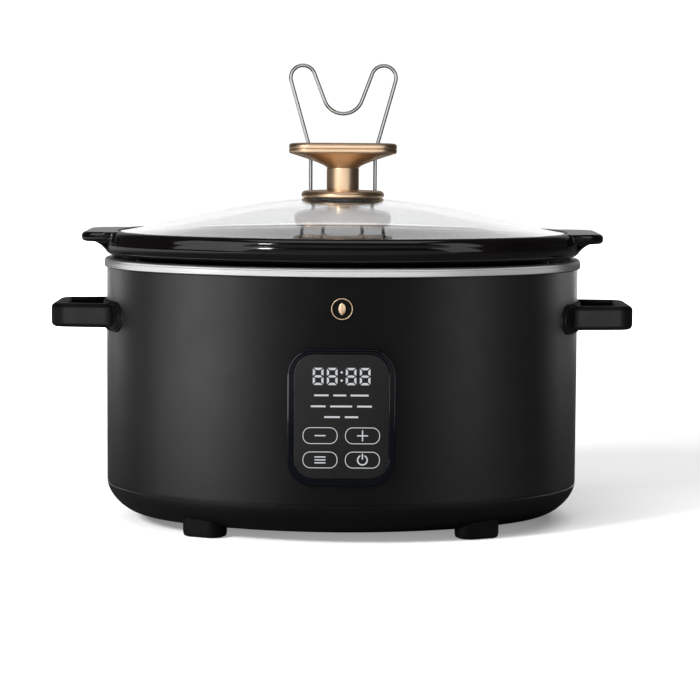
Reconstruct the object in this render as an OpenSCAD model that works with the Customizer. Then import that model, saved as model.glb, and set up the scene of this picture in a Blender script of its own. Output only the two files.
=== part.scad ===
// Oval slow cooker with a lift-out stoneware crock, a domed glass lid and a folding wire rest.
// Millimetres. Origin: centre of the base on the table. +X right, front faces -Y, +Z up.

/* [Body] */
// Radius of the two tight end arcs of the oval
end_r = 108; // [106:1:110]
// Distance from the middle to each end arc's centre
end_c = 63; // [60:3:66]
// Height of the feet under the base
foot_h = 6.5; // [5:0.5:9]
// Height of the seam between the base ring and the shell
seam_z = 28.8; // [26:0.1:32]
// Height of the top edge of the painted shell
shell_top = 184.2; // [179:0.1:189]
// Thickness of the painted steel shell
shell_t = 1.2; // [0.8:0.1:1.6]
// Thickness of the base ring's plastic wall
ring_t = 2.6; // [2:0.1:3.5]

/* [Handles] */
// Overall width across both handles
handle_span = 418.4; // [404:0.2:430]
// Width of a handle loop at its outer end
handle_w = 72; // [66:1:76]
// Height of the handle bar
handle_h = 17.2; // [14:0.2:20]
// Thickness of the handle bar in plan
handle_t = 10.5; // [9.5:0.5:12]
// Height of the handle's centre
handle_z = 150; // [146:0.1:156]

/* [Crock and lid] */
// Height of the crock's top rim
rim_z = 210; // [206:0.5:214]
// Length over the crock's two end tabs
crock_l = 373.2; // [366:0.2:382]
// Thickness of the crock's side wall
crock_t = 7.5; // [6:0.5:9]
// Rise of the glass dome above its edge
dome_h = 25.6; // [20:0.1:30]
// Thickness of the glass
glass_t = 4.2; // [3.5:0.1:5]

/* [Knob and wire rest] */
// Width of the knob's top plate
knob_w = 78; // [70:1:84]
// Depth of the knob's top plate
knob_d = 40; // [34:1:44]
// Radius of the knob's stem
stem_r = 11.7; // [10:0.1:13]
// Radius of the knob's round flange
flange_r = 30; // [26:0.5:32]
// Diameter of the chrome wire
wire_d = 2.8; // [2.4:0.1:3.2]
// Length of the wire's slanted legs below its horns
drop = 53; // [50:0.5:56]

/* [Control panel] */
// Width of the glossy bezel
bezel_w = 74; // [70:0.1:80]
// Height of the glossy bezel
bezel_h = 94; // [88:0.1:100]
// Height of the bezel's centre
bezel_z = 88.8; // [84:0.1:94]
// How far the bezel and the collar stand proud of the shell
proud = 2.2; // [1.5:0.1:3]

/* [Hidden] */
$fn = 64;
eps = 0.01;
gap = 0.3;
running = 0.06;

// the oval: two end arcs centred on X and two side arcs centred on Y. The line through two
// centres, where the arcs meet, rises 4 for every 3 across, so every length stays a round number
side_c = end_c * 4 / 3;
side_r = end_r + end_c * 5 / 3;
oval_a = atan2(4, 3);
half_w = end_c + end_r;
half_d = side_r - side_c;

// offsets from the shell's outline, negative inwards
well_o = -18;
well_t = 0.8;
crock_o = -21.5;
inner_o = crock_o - crock_t;
collar_o = proud;
lid_o = -9.4;
ledge_o = lid_o + 1;
throat_o = -17;
throat_r = throat_o - inner_o;

// heights
cover_z = foot_h + 0.6;
cover_t = 1.6;
base_in = 22;
seam_h = 0.8;
base_up = seam_z - seam_h - foot_h;
base_lip_o = -base_in - 4;
flange_t = 1;
ring_z = shell_top;
ring_h = 6.4;
collar_z = 192.3;
well_floor = 40;
crock_foot_z = well_floor + gap;
crock_bottom = 43.5;
crock_floor = 52.5;
ledge_z = 204.8;
edge_z = ledge_z + gap + glass_t;
dome_top = edge_z + dome_h;
board_z = 16.5;
board_t = 1.6;
shield_z = 30;

// feet, screws and the places they share
foot_w = 31;
foot_d = 21;
foot_x = 95;
foot_y = 85;
foot_turn = 24;
foot_screw_r = 2;
boss_x = 58;
boss_y = 84;
boss_r = 6;
cover_screw_r = 1.7;
boss_top = 20;
handle_screw_y = 35;
handle_screw_r = 2;

// knob heights
gasket_z = dome_top + 0.05;
gasket_t = 0.9;
bracket_z = gasket_z + gasket_t;
bracket_t = 0.8;
flange_z = dome_top - 1;
flange_h = 5;
flange_dome = 0.9;
stem_z = bracket_z + bracket_t;
cone_z = 255.8;
plate_z = 266;
plate_split = 269.6;
knob_z = 273;
crown = 0.6;
screw_r = 2.5;

// wire rest
wire_r = wire_d / 2;
pin_r = wire_r - 0.15;
hinge_y = 31;
hinge_z = 235.9;
pin_bend = 3;
lug_r = 2.6;
u_low = 294.7;
u_r = 14.65;
u_turn = 69.2;
inner_leg = 21.34;
horn_r = 9;
horn_turn = 174.9;
splay = horn_turn - u_turn - 90;
splay_r = 8;

// half of the rest, from the middle of the U out over one horn and down to its upright leg,
// then on down the leg to the pivot pin
upper_line = wire_line([[u_r, u_turn], [inner_leg, 0], [horn_r, -horn_turn], [drop, 0],
    [splay_r, splay]], 0, u_low, 0);
leg_top = upper_line[len(upper_line) - 1];
leg_x = leg_top[0];
leg_len = leg_top[1] - hinge_z - pin_bend;
leg_line = wire_line([[leg_len, 0], [pin_bend, -90], [0.3, 0]], leg_x, leg_top[1], -90);
half_line = concat(upper_line, [for (i = [1:len(leg_line) - 1]) leg_line[i]]);
lug_w = 4.6;
lug_x = leg_x - pin_bend - 3;

// control panel depths, along Y
panel_y = -(half_d + proud);
lens_w = bezel_w - 9.6;
lens_h = bezel_h - 9;
lens_t = 2;
window_w = lens_w - 5;
window_h = lens_h - 5;
rear_y = panel_y + 9.2;
back_y = rear_y + 1.5;
ink = 0.15;
face_y = panel_y + 0.25;

// ---------------------------------------------------------------- shared shapes

function arc(cx, cy, r, a0, a1, n) =
    [for (i = [0:n]) [cx + r * cos(a0 + (a1 - a0) * i / n), cy + r * sin(a0 + (a1 - a0) * i / n)]];

function box_pts(x0, y0, x1, y1) = [[x0, y0], [x1, y0], [x1, y1], [x0, y1]];

function round_rect(w, h, r, n = 6) = concat(
    arc(w / 2 - r, h / 2 - r, r, 0, 90, n),
    arc(r - w / 2, h / 2 - r, r, 90, 180, n),
    arc(r - w / 2, r - h / 2, r, 180, 270, n),
    arc(w / 2 - r, r - h / 2, r, 270, 360, n));

// a point on the outline offset by o, where the outline's normal points at angle t
function oval_point(t, o) =
    let (q = t > 180 ? t - 360 : t)
    abs(q) <= oval_a ? [end_c + (end_r + o) * cos(q), (end_r + o) * sin(q)]
    : abs(q) >= 180 - oval_a ? [(end_r + o) * cos(q) - end_c, (end_r + o) * sin(q)]
    : [(side_r + o) * cos(q), (side_r + o) * sin(q) - sign(q) * side_c];

function fine(v) = round(v * 1000) / 1000;

// keeps the part of its children between the two joint lines of an end arc, or of a side arc
module arc_sector(side) {
    far = 400;
    low = side ? -side_c : 0;
    intersection() {
        children();
        translate([0, 0, -10])
            linear_extrude(far)
                polygon(side ? [[0, low], [0.6 * far, low + 0.8 * far], [-0.6 * far, low + 0.8 * far]]
                    : [[end_c, 0], [end_c + 0.6 * far, -0.8 * far], [end_c + 0.6 * far, 0.8 * far]]);
    }
}

// turns a section of [offset, height] points round the oval; fill runs its ends in to the axis
module oval_turn(section, fill) {
    for (s = [0, 180])
        rotate([0, 0, s])
            for (side = [false, true])
                arc_sector(side)
                    translate(side ? [0, -side_c, 0] : [end_c, 0, 0])
                        turned(section, side ? side_r : end_r, fill);
}

module turned(section, r, fill) {
    wall = [for (p = section) [fine(r + p[0]), fine(p[1])]];
    core = [[0, fine(section[len(section) - 1][1])], [0, fine(section[0][1])]];
    rotate_extrude($fn = 180)
        polygon(fill ? concat(wall, core) : wall);
}

module oval_ring(section) {
    oval_turn(section, false);
}

module oval_solid(section) {
    oval_turn(section, true);
}

module oval_slab(o, z0, z1) {
    oval_solid([[o, z0], [o, z1]]);
}

// a cylinder along Y that starts at y0
module rod_y(r, y0, y1) {
    translate([0, y0, 0])
        rotate([-90, 0, 0])
            cylinder(r = r, h = y1 - y0);
}

// a cylinder along X that starts at x0
module rod_x(r, x0, x1) {
    translate([x0, 0, 0])
        rotate([0, 90, 0])
            cylinder(r = r, h = x1 - x0);
}

// an outline drawn in X and Z, given a depth from y0 to y1
module front_plate(outline, y0, y1) {
    translate([0, y1, 0])
        rotate([90, 0, 0])
            linear_extrude(y1 - y0)
                polygon(outline);
}

module each_corner(x, y) {
    for (sx = [-1, 1])
        for (sy = [-1, 1])
            translate([sx * x, sy * y, 0])
                children();
}

module ends() {
    children();
    mirror([1, 0, 0])
        children();
}

// ---------------------------------------------------------------- casing

module outer_shell() {
    color([0.05, 0.05, 0.055])
        difference() {
            oval_ring(box_pts(-shell_t, seam_z, 0, shell_top));
            translate([0, 0, bezel_z])
                front_plate(round_rect(bezel_w + gap, bezel_h + gap, 18), panel_y, rear_y);
            ends()
                handle_holes(2.4);
            translate([0, 0, cord_z])
                rod_y(gland_r + running, half_d - 10, half_d + 10);
        }
}

module handle_holes(r) {
    for (s = [-1, 1])
        translate([0, s * handle_screw_y, handle_z])
            rod_x(r, half_w - 20, half_w + 12);
}

module rim_ring() {
    low = ring_z;
    color([0.8, 0.8, 0.8])
        oval_ring(concat(
            [[-4.5, low], [0.9, low]],
            arc(0.9, low + 0.8, 0.8, -60, 0, 2),
            [[1.7, low + 3.8], [1.2, low + 4.1], [1.2, low + 4.3]],
            arc(-0.4, low + ring_h - 1.9, 1.9, 0, 90, 5),
            [[-3.7, low + ring_h], [-4.5, low + ring_h - 0.8]]));
}

// the base's lower curve from the seam in to its flat underside, t inside the outer face
function base_curve(t) =
    [for (a = [0:15:90])
        [fine(-t - (base_in - t) * (1 - pow(cos(a), 1.25))),
         fine(foot_h + t + (base_up - t) * (1 - pow(sin(a), 1.25)))]];

function reversed(points) = [for (i = [len(points) - 1:-1:0]) points[i]];

module base_ring() {
    t = ring_t;
    color([0.045, 0.045, 0.05])
        difference() {
            union() {
                oval_ring(concat(
                    [[base_lip_o, foot_h + t], [base_lip_o, foot_h]],
                    reversed(base_curve(0)),
                    [[-0.8, seam_z - seam_h], [-0.8, seam_z], [-t, seam_z]],
                    base_curve(t)));
                for (side = [-1, 1])
                    for (sx = [-1, 1])
                        translate([sx * boss_x, side * boss_y, 0])
                            screw_boss(side);
            }
            each_corner(boss_x, boss_y)
                cylinder(r = cover_screw_r + running, h = boss_top - 3);
            each_corner(foot_x, foot_y)
                cylinder(r = foot_screw_r + running, h = 40);
        }
}

// a boss that takes a cover screw, with a rib out to the ring's wall on the given side
module screw_boss(side) {
    z0 = cover_z + cover_t + 0.1;
    rib = 20;
    translate([0, 0, z0])
        cylinder(r = boss_r, h = boss_top - z0);
    translate([-3, side > 0 ? 0 : -rib, z0])
        cube([6, rib, boss_top - z0]);
}

module bottom_cover() {
    color([0.12, 0.12, 0.12])
        difference() {
            oval_slab(base_lip_o - gap, cover_z, cover_z + cover_t);
            each_corner(foot_x - 40, foot_y - 40)
                for (i = [-2:2])
                    translate([i * 7 - 1.5, -14, 0])
                        cube([3, 28, 20]);
            each_corner(boss_x, boss_y)
                cylinder(r = cover_screw_r + 0.2, h = 40);
            each_corner(board_hole_x, board_hole_y)
                cylinder(r = 1.6, h = 40);
        }
}

// one moulded foot: a rounded pad along the oval that tapers a little, fits the base's curve
// and is screwed up through it
module foot(sx, sy) {
    color([0.03, 0.03, 0.03])
        difference() {
            translate([sx * foot_x, sy * foot_y, 0])
                rotate([0, 0, -sx * sy * foot_turn])
                    difference() {
                        union() {
                            linear_extrude(4)
                                polygon(round_rect(foot_w - 2, foot_d - 2, 8));
                            translate([0, 0, 1.5])
                                linear_extrude(14)
                                    polygon(round_rect(foot_w, foot_d, 9));
                        }
                        translate([0, 0, -eps])
                            cylinder(r = 4.4, h = 4);
                        cylinder(r = foot_screw_r + 0.2, h = 40);
                    }
            oval_solid(concat(
                [[-80, foot_h]],
                reversed(base_curve(0)),
                [[0, seam_z], [-80, seam_z]]));
        }
}

module foot_front_left() {
    foot(-1, -1);
}

module foot_front_right() {
    foot(1, -1);
}

module foot_rear_left() {
    foot(-1, 1);
}

module foot_rear_right() {
    foot(1, 1);
}

module pan_screw(r, head_r, head_h, length) {
    cylinder(r = head_r, h = head_h);
    cylinder(r = r, h = length);
}

module foot_screws() {
    color([0.6, 0.6, 0.6])
        each_corner(foot_x, foot_y)
            translate([0, 0, 1.8])
                difference() {
                    pan_screw(foot_screw_r, 4, 2.1, 13);
                    translate([-2.5, -0.4, -eps])
                        cube([5, 0.8, 1]);
                    translate([-0.4, -2.5, -eps])
                        cube([0.8, 5, 1]);
                }
}

module bottom_screws() {
    color([0.6, 0.6, 0.6])
        each_corner(boss_x, boss_y)
            translate([0, 0, cover_z - 1.6])
                pan_screw(cover_screw_r, 3.2, 1.6, 9);
}

// ---------------------------------------------------------------- handles

bar = round_rect(handle_t, handle_h, 3, 5);
arm = round_rect(handle_t - 0.1, handle_h - 0.1, 2.95, 5);
loop_x = handle_span / 2 - handle_t / 2;
bend_r = 7;
bend_x = loop_x - bend_r;
bend_y = handle_w / 2 - handle_t / 2 - bend_r;
arm_splay = 7;
arm_len = 46;
arm_lap = 0.5;

// right-hand loop: a grip bar, two bends and two arms that spread a little towards the wall,
// cut to the outline of the stepped base. The arms are a hair slimmer and lap into the bends
module handle_loop() {
    difference() {
        translate([0, 0, handle_z])
            for (s = [-1, 1])
                scale_y(s)
                    translate([bend_x, bend_y, 0])
                        union() {
                            translate([bend_r, -bend_y - eps, 0])
                                bar_y(bar, bend_y + eps);
                            rotate_extrude(angle = 90 - arm_splay)
                                translate([bend_r, 0])
                                    polygon(bar);
                            rotate([0, 0, 90 - arm_splay])
                                translate([bend_r, -arm_lap, 0])
                                    bar_y(arm, arm_len);
                        }
        oval_slab(flare_t, handle_z - 30, handle_z + 30);
        handle_holes(handle_screw_r + 0.1);
    }
}

// a length of bar along Y with the given section
module bar_y(section, length) {
    rotate([-90, 0, 0])
        linear_extrude(length)
            polygon(section);
}

module scale_y(s) {
    if (s > 0)
        children();
    else
        mirror([0, 1, 0])
            children();
}

module handle_right() {
    color([0.04, 0.04, 0.045])
        handle_loop();
}

module handle_left() {
    color([0.04, 0.04, 0.045])
        mirror([1, 0, 0])
            handle_loop();
}

flare_t = 2.4;
flare_w = 114;
flare_h = 22;
flare_step = 4;

// stepped base that wraps the wall under each handle's two arms
module handle_base() {
    difference() {
        union() {
            intersection() {
                oval_ring(box_pts(0.02, handle_z - 20, flare_t / 2, handle_z + 20));
                flare_block(flare_w, flare_h);
            }
            intersection() {
                oval_ring(box_pts(0.02, handle_z - 20, flare_t, handle_z + 20));
                flare_block(flare_w - flare_step, flare_h - flare_step);
            }
        }
        handle_holes(2.4);
    }
}

module flare_block(w, h) {
    translate([half_w - 30, 0, handle_z])
        rotate([90, 0, 90])
            linear_extrude(60)
                polygon(round_rect(w, h, h / 2 - 0.5, 8));
}

module handle_base_right() {
    color([0.05, 0.05, 0.05])
        handle_base();
}

module handle_base_left() {
    color([0.05, 0.05, 0.05])
        mirror([1, 0, 0])
            handle_base();
}

module handle_screws() {
    head_x = 159.4;
    color([0.6, 0.6, 0.6])
        ends()
            for (s = [-1, 1])
                translate([head_x, s * handle_screw_y, handle_z])
                    rotate([0, 90, 0])
                        pan_screw(handle_screw_r, 4, 2.6, 20);
}

// ---------------------------------------------------------------- heating parts

module heating_well() {
    f = well_floor;
    t = well_t;
    o = well_o;
    r = 14;
    top = shell_top;
    color([0.7, 0.7, 0.68])
        difference() {
            oval_solid(concat(
                [[-80, f - t]],
                arc(o - r, f + r, r + t, -90, 0, 5),
                [[o + t, top - flange_t], [-shell_t - 0.1, top - flange_t]],
                [[-shell_t - 0.1, top], [-80, top]]));
            oval_solid(concat(
                [[-80, f]],
                arc(o - r, f + r, r, -90, 0, 5),
                [[o, top + 1], [-80, top + 1]]));
        }
}

band_o = well_o + well_t + 0.05;

module heating_band() {
    o = band_o;
    color([0.75, 0.7, 0.6])
        union() {
            oval_ring(box_pts(o, 58, o + 1.8, 112));
            for (s = [-1, 1])
                translate([s * lead_x - 4, half_d + o + 1, 56])
                    cube([8, 2, 10]);
        }
}

module insulation_wrap() {
    o = well_o + well_t + 2.6;
    color([0.85, 0.82, 0.7])
        difference() {
            oval_ring(box_pts(o, 66, o + 4.4, 168));
            translate([-14, half_d - 22, 60])
                cube([28, 30, 12]);
        }
}

module heat_shield() {
    color([0.75, 0.75, 0.75])
        difference() {
            oval_slab(-32, shield_z, shield_z + 0.6);
            translate([0, sensor_y, 0])
                cylinder(r = 7, h = 60);
        }
}

sensor_y = -40;

module temperature_sensor() {
    color([0.85, 0.85, 0.82])
        translate([0, sensor_y, 0])
            union() {
                translate([0, 0, 26])
                    cylinder(r = 3, h = 10);
                translate([0, 0, 35])
                    cylinder(r = 6, h = well_floor - well_t - 35.05);
            }
}

module thermal_fuse() {
    color([0.8, 0.75, 0.5])
        translate([0, 46, 35.4])
            union() {
                rod_x(2.4, -8, 8);
                rod_x(0.6, -22, 22);
            }
}

// ---------------------------------------------------------------- control panel

module control_bezel() {
    step = 1.2;
    color([0.02, 0.022, 0.03])
        translate([0, 0, bezel_z])
            difference() {
                union() {
                    front_plate(round_rect(bezel_w - 2 * step, bezel_h - 2 * step, 16.8), panel_y, rear_y);
                    front_plate(round_rect(bezel_w, bezel_h, 18), panel_y + step, rear_y);
                    front_plate(round_rect(bezel_w + 8, bezel_h + 8, 18), rear_y, back_y);
                }
                translate([0, 0, 1.2])
                    front_plate(round_rect(lens_w + gap, lens_h + gap, 14), panel_y - 1, panel_y + 2.4);
                front_plate(round_rect(window_w, window_h, 11), panel_y - 1, back_y + 1);
            }
}

module control_lens() {
    color([0.015, 0.015, 0.02])
        translate([0, 0, bezel_z + 1.2])
            front_plate(round_rect(lens_w, lens_h, 13.9), face_y, face_y + lens_t);
}

digit_z = 117.4;
digit_w = 7.2;
digit_h = 11.7;
bar_w = 1.5;
slit = 0.6;

// seven display segments: six trapezoids round the edge and a six-sided bar across the middle
module digit() {
    x1 = digit_w / 2;
    x0 = x1 - bar_w;
    z1 = digit_h / 2;
    z0 = z1 - bar_w;
    h = bar_w / 2;
    for (low = [0, 1])
        mirror([0, 0, low]) {
            segment([[-x1 + slit, z1], [x1 - slit, z1], [x0 - slit, z0], [slit - x0, z0]]);
            for (left = [0, 1])
                mirror([left, 0, 0])
                    segment([[x1, z1 - slit], [x1, slit], [x0, h + slit], [x0, z0 - slit]]);
        }
    segment([[-x1 + slit + 0.2, 0], [slit - x0, -h], [x0 - slit, -h], [x1 - slit - 0.2, 0],
             [x0 - slit, h], [slit - x0, h]]);
}

module segment(outline) {
    front_plate(outline, face_y - ink, face_y);
}

module display_digits() {
    color([0.95, 0.97, 1])
        translate([0, 0, digit_z]) {
            for (x = [-15.9, -6.4, 6.4, 15.9])
                translate([x, 0, 0])
                    digit();
            for (z = [-2.8, 2.8])
                translate([0, 0, z])
                    rod_y(0.8, face_y - ink, face_y);
        }
}

pill_w = 23.7;
pill_h = 11.4;
pill_x = 14.4;
pill_rows = [77, 60.4];
stroke = 0.5;

module pill_outline() {
    difference() {
        front_plate(round_rect(pill_w, pill_h, 5.2), face_y - ink, face_y);
        front_plate(round_rect(pill_w - 2 * stroke, pill_h - 2 * stroke, 5.2 - stroke), face_y - 1, face_y + 1);
    }
}

module icon_bar(w, h) {
    front_plate(box_pts(-w / 2, -h / 2, w / 2, h / 2), face_y - ink, face_y);
}

module power_icon() {
    difference() {
        rod_y(3.7, face_y - ink, face_y);
        rod_y(2.8, face_y - 1, face_y + 1);
        translate([-1.4, face_y - 1, 1])
            cube([2.8, 2, 5]);
    }
    translate([0, 0, 2.4])
        icon_bar(0.9, 4);
}

dash_h = 1.2;
// status dashes as [height, [middle, length], ...] rows
dash_rows = [
    [104.5, [-13.7, 9.8], [-1.2, 8.8], [12.2, 12.2]],
    [97, [-15.8, 10], [-0.2, 14.8], [15.6, 10]],
    [89.7, [-6.4, 10.6], [6.8, 9]]];

// plain status dashes stand in rows under the clock, and four outlined touch keys below them
module touch_icons() {
    color([0.9, 0.92, 0.95])
        union() {
            for (line = dash_rows)
                for (k = [1:len(line) - 1])
                    translate([line[k][0], 0, line[0]])
                        icon_bar(line[k][1], dash_h);
            for (z = pill_rows)
                for (s = [-1, 1])
                    translate([s * pill_x, 0, z])
                        pill_outline();
            translate([-pill_x, 0, pill_rows[0]])
                icon_bar(7.5, 0.8);
            translate([pill_x, 0, pill_rows[0]])
                union() {
                    icon_bar(7.5, 0.8);
                    icon_bar(0.8, 7.5);
                }
            for (k = [-1, 0, 1])
                translate([-pill_x, 0, pill_rows[1] + 2 * k])
                    icon_bar(7.5, 0.8);
            translate([pill_x, 0, pill_rows[1]])
                power_icon();
        }
}

board_y = panel_y + 6.2;

module display_module() {
    color([0.9, 0.9, 0.88])
        translate([0, 0, digit_z])
            front_plate(round_rect(46, 17, 1), face_y + lens_t + 0.1, board_y - 0.05);
}

module control_board() {
    color([0.1, 0.35, 0.15])
        translate([0, 0, bezel_z])
            difference() {
                front_plate(round_rect(window_w - 1, window_h - 1, 10), board_y, board_y + 1.6);
                for (sx = [-1, 1])
                    for (sz = [-1, 1])
                        translate([sx * 24, 0, sz * 32])
                            rod_y(1.2, board_y - 1, board_y + 3);
            }
}

module touch_springs() {
    color([0.8, 0.8, 0.75])
        for (z = pill_rows)
            for (s = [-1, 1])
                translate([s * pill_x, 0, z])
                    difference() {
                        rod_y(4, face_y + lens_t + 0.1, board_y - 0.05);
                        rod_y(3.2, face_y, board_y + 1);
                    }
}

module control_back_cover() {
    color([0.08, 0.08, 0.08])
        translate([0, 0, bezel_z])
            front_plate(round_rect(bezel_w + 6, bezel_h + 6, 17), back_y + 0.05, back_y + 1.2);
}

// a plain gold medallion: a ring round a pointed leaf
module emblem() {
    r = 7.4;
    y1 = -half_d - 0.05;
    y0 = y1 - 0.8;
    color([0.8, 0.62, 0.38])
        translate([0, 0, 163]) {
            difference() {
                rod_y(r, y0, y1);
                rod_y(r - 0.8, y0 - 1, y1 + 1);
            }
            difference() {
                intersection() {
                    translate([-3, 0, 0])
                        rod_y(5.4, y0, y1);
                    translate([3, 0, 0])
                        rod_y(5.4, y0, y1);
                }
                translate([-0.25, y0 - 1, -3.4])
                    cube([0.5, 3, 5.4]);
            }
        }
}

// ---------------------------------------------------------------- electrical parts

cord_z = 48;
gland_r = 8;
cord_r = 3.9;

module cord_gland() {
    color([0.03, 0.03, 0.03])
        translate([0, 0, cord_z])
            difference() {
                union() {
                    rod_y(gland_r, half_d - 6, half_d + 0.3);
                    rod_y(11, half_d + 0.1, half_d + proud);
                    rod_y(10, half_d - 6, half_d - 2.4);
                }
                rod_y(cord_r, half_d - 7, half_d + 5);
            }
}

board_hole_x = 38;
board_hole_y = 24;

module power_board() {
    color([0.1, 0.35, 0.15])
        difference() {
            translate([0, 0, board_z])
                linear_extrude(board_t)
                    polygon(round_rect(88, 60, 2, 3));
            each_corner(board_hole_x, board_hole_y)
                cylinder(r = 1.6, h = 40);
        }
}

module board_standoffs() {
    z0 = cover_z + cover_t;
    color([0.85, 0.8, 0.6])
        each_corner(board_hole_x, board_hole_y)
            difference() {
                translate([0, 0, z0])
                    cylinder(r = 3, h = board_z - z0);
                cylinder(r = 1.5, h = 40);
            }
}

component_z = board_z + board_t;

module power_relay() {
    color([0.1, 0.25, 0.5])
        translate([-26, -8, component_z])
            cube([19, 15, 10.5]);
}

module filter_capacitor() {
    color([0.75, 0.6, 0.15])
        translate([4, -12, component_z])
            cylinder(r = 5, h = 10.5);
}

module terminal_block() {
    color([0.15, 0.5, 0.3])
        difference() {
            translate([-12, 14, component_z])
                cube([24, 10, 10]);
            for (s = [-1, 1])
                translate([s * lead_x, 0, lead_z])
                    rod_y(1.5, 18, 40);
        }
}

lead_x = 6;
lead_r = 1.3;
lead_z = 23.5;
lead_y = half_d + band_o + 2;
lead_bend = 8;

// two insulated leads: down from the band, round a bend and in to the terminal block
module heater_leads() {
    color([0.8, 0.15, 0.1])
        for (s = [-1, 1])
            translate([s * lead_x, 0, 0])
                union() {
                    translate([0, lead_y, lead_z + lead_bend])
                        cylinder(r = lead_r, h = 55.9 - lead_z - lead_bend);
                    translate([0, lead_y - lead_bend, lead_z + lead_bend])
                        rotate([0, 90, 0])
                            rotate_extrude(angle = 90)
                                translate([lead_bend, 0])
                                    circle(r = lead_r);
                    translate([0, 0, lead_z])
                        rod_y(lead_r, 19, lead_y - lead_bend);
                }
}

ribbon_t = 0.8;
ribbon_w = 16;

// flat cable from the touch board down to the power board
module control_ribbon() {
    y0 = back_y + 1.8;
    z0 = component_z + 3;
    b = 6;
    color([0.75, 0.75, 0.78])
        translate([-ribbon_w / 2, 0, 0])
            rotate([90, 0, 90])
                linear_extrude(ribbon_w)
                    polygon(concat(
                        [[y0, 56]],
                        arc(y0 + b, z0 + b, b, 180, 270, 5),
                        [[-24, z0], [-24, z0 + ribbon_t]],
                        arc(y0 + b, z0 + b, b - ribbon_t, 270, 180, 5),
                        [[y0 + ribbon_t, 56]]));
}

// ---------------------------------------------------------------- crock

module stoneware_crock() {
    t = crock_t;
    o = crock_o;
    color([0.04, 0.03, 0.035])
        difference() {
            union() {
                oval_solid(concat(
                    [[-70, crock_bottom]],
                    arc(o - 20, crock_bottom + 20, 20, -90, 0, 7),
                    [[o, 186]],
                    arc(o + 6, 186, 6, 180, 90, 4),
                    [[-8, collar_z]],
                    arc(collar_o - 8, collar_z + 8, 8, -75, 0, 5),
                    arc(collar_o - 1.8, rim_z - 1.8, 1.8, 0, 90, 4),
                    [[-70, rim_z]]));
                crock_foot();
                ends()
                    crock_tab();
            }
            oval_solid(concat(
                [[-70, crock_floor]],
                arc(inner_o - 24, crock_floor + 24, 24, -90, 0, 7),
                arc(throat_o, ledge_z - throat_r, throat_r, 180, 90, 6),
                [[ledge_o, ledge_z], [ledge_o + 0.8, rim_z + 1], [-70, rim_z + 1]]));
        }
}

module crock_foot() {
    oval_ring(box_pts(crock_o - 26, crock_foot_z, crock_o - 18, crock_bottom + 2));
}

tab_t = 7;
tab_tip = crock_l / 2;
tab_r = 14;
tab_half = 41;
tab_root = 50;
gusset_half = 37;
gusset_r = 19.6;
gusset_x = half_w + 16.6;
gusset_z = 184.2;

// the end tab: a flat lip level with the rim, with a curved gusset under it
module crock_tab() {
    difference() {
        union() {
            translate([0, 0, rim_z - tab_t])
                linear_extrude(tab_t)
                    polygon(concat(
                        [[half_w - 25, -tab_root]],
                        arc(tab_tip - tab_r, tab_r - tab_half, tab_r, -72, 0, 6),
                        arc(tab_tip - tab_r, tab_half - tab_r, tab_r, 0, 72, 6),
                        [[half_w - 25, tab_root]]));
            translate([0, gusset_half, 0])
                rotate([90, 0, 0])
                    linear_extrude(2 * gusset_half)
                        polygon(concat(
                            [[half_w - 20, rim_z - 3], [half_w - 20, gusset_z + 10.8]],
                            arc(gusset_x, gusset_z, gusset_r, 146.5, 107, 6),
                            [[half_w + 12, rim_z - 3]]));
        }
        oval_slab(-3, collar_z - 5, rim_z + 5);
    }
}

// ---------------------------------------------------------------- lid

lid_steps = 72;
dome_u = [0.12, 0.3, 0.48, 0.64, 0.78, 0.9, 0.97];

function dome_z(u) = edge_z + dome_h * pow(1 - u * u, 1.35);

// rings of the dome's skin: outer face, rounded edge, inner face
lid_rings = concat(
    [for (u = dome_u) [u, dome_z(u)]],
    [[0.995, edge_z - 0.2], [1, edge_z - 1.2], [1, edge_z - glass_t + 0.8], [0.995, edge_z - glass_t]],
    [for (i = [0:len(dome_u) - 1]) let (u = dome_u[len(dome_u) - 1 - i]) [u, dome_z(u) - glass_t]]);

module glass_blank() {
    n = lid_steps;
    m = len(lid_rings);
    rings = [for (k = [0:m - 1])
        for (i = [0:n - 1])
            let (p = oval_point(i * 360 / n, lid_o))
            [p[0] * lid_rings[k][0], p[1] * lid_rings[k][0], lid_rings[k][1]]];
    tips = [[0, 0, dome_top], [0, 0, dome_top - glass_t]];
    sides = [for (k = [0:m - 2])
        for (i = [0:n - 1])
            for (half = [0, 1])
                let (a = k * n + i, b = k * n + (i + 1) % n)
                half == 0 ? [a, b, b + n] : [a, b + n, a + n]];
    caps = [for (i = [0:n - 1])
        for (half = [0, 1])
            half == 0 ? [m * n, (i + 1) % n, i]
            : [m * n + 1, (m - 1) * n + i, (m - 1) * n + (i + 1) % n]];
    polyhedron(points = concat(rings, tips), faces = concat(sides, caps));
}

module lid_glass() {
    color([0.85, 0.9, 0.92, 0.5])
        difference() {
            glass_blank();
            translate([0, 0, dome_top - 20])
                cylinder(r = 4, h = 40);
        }
}

module knob_washer() {
    z = dome_top - glass_t - 1.5;
    color([0.85, 0.85, 0.85])
        difference() {
            translate([0, 0, z])
                cylinder(r = 8, h = 1.2);
            translate([0, 0, z - 1])
                cylinder(r = screw_r + 0.1, h = 4);
        }
}

module knob_screw() {
    z = dome_top - glass_t - 4.6;
    color([0.75, 0.75, 0.75])
        difference() {
            translate([0, 0, z])
                pan_screw(screw_r, 5, 3, 24);
            translate([-3, -0.5, z - eps])
                cube([6, 1, 1.2]);
            translate([-0.5, -3, z - eps])
                cube([1, 6, 1.2]);
        }
}

module knob_gasket() {
    color([0.2, 0.2, 0.2])
        difference() {
            translate([0, 0, gasket_z])
                cylinder(r = 14, h = gasket_t);
            cylinder(r = 3, h = 400);
        }
}

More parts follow.
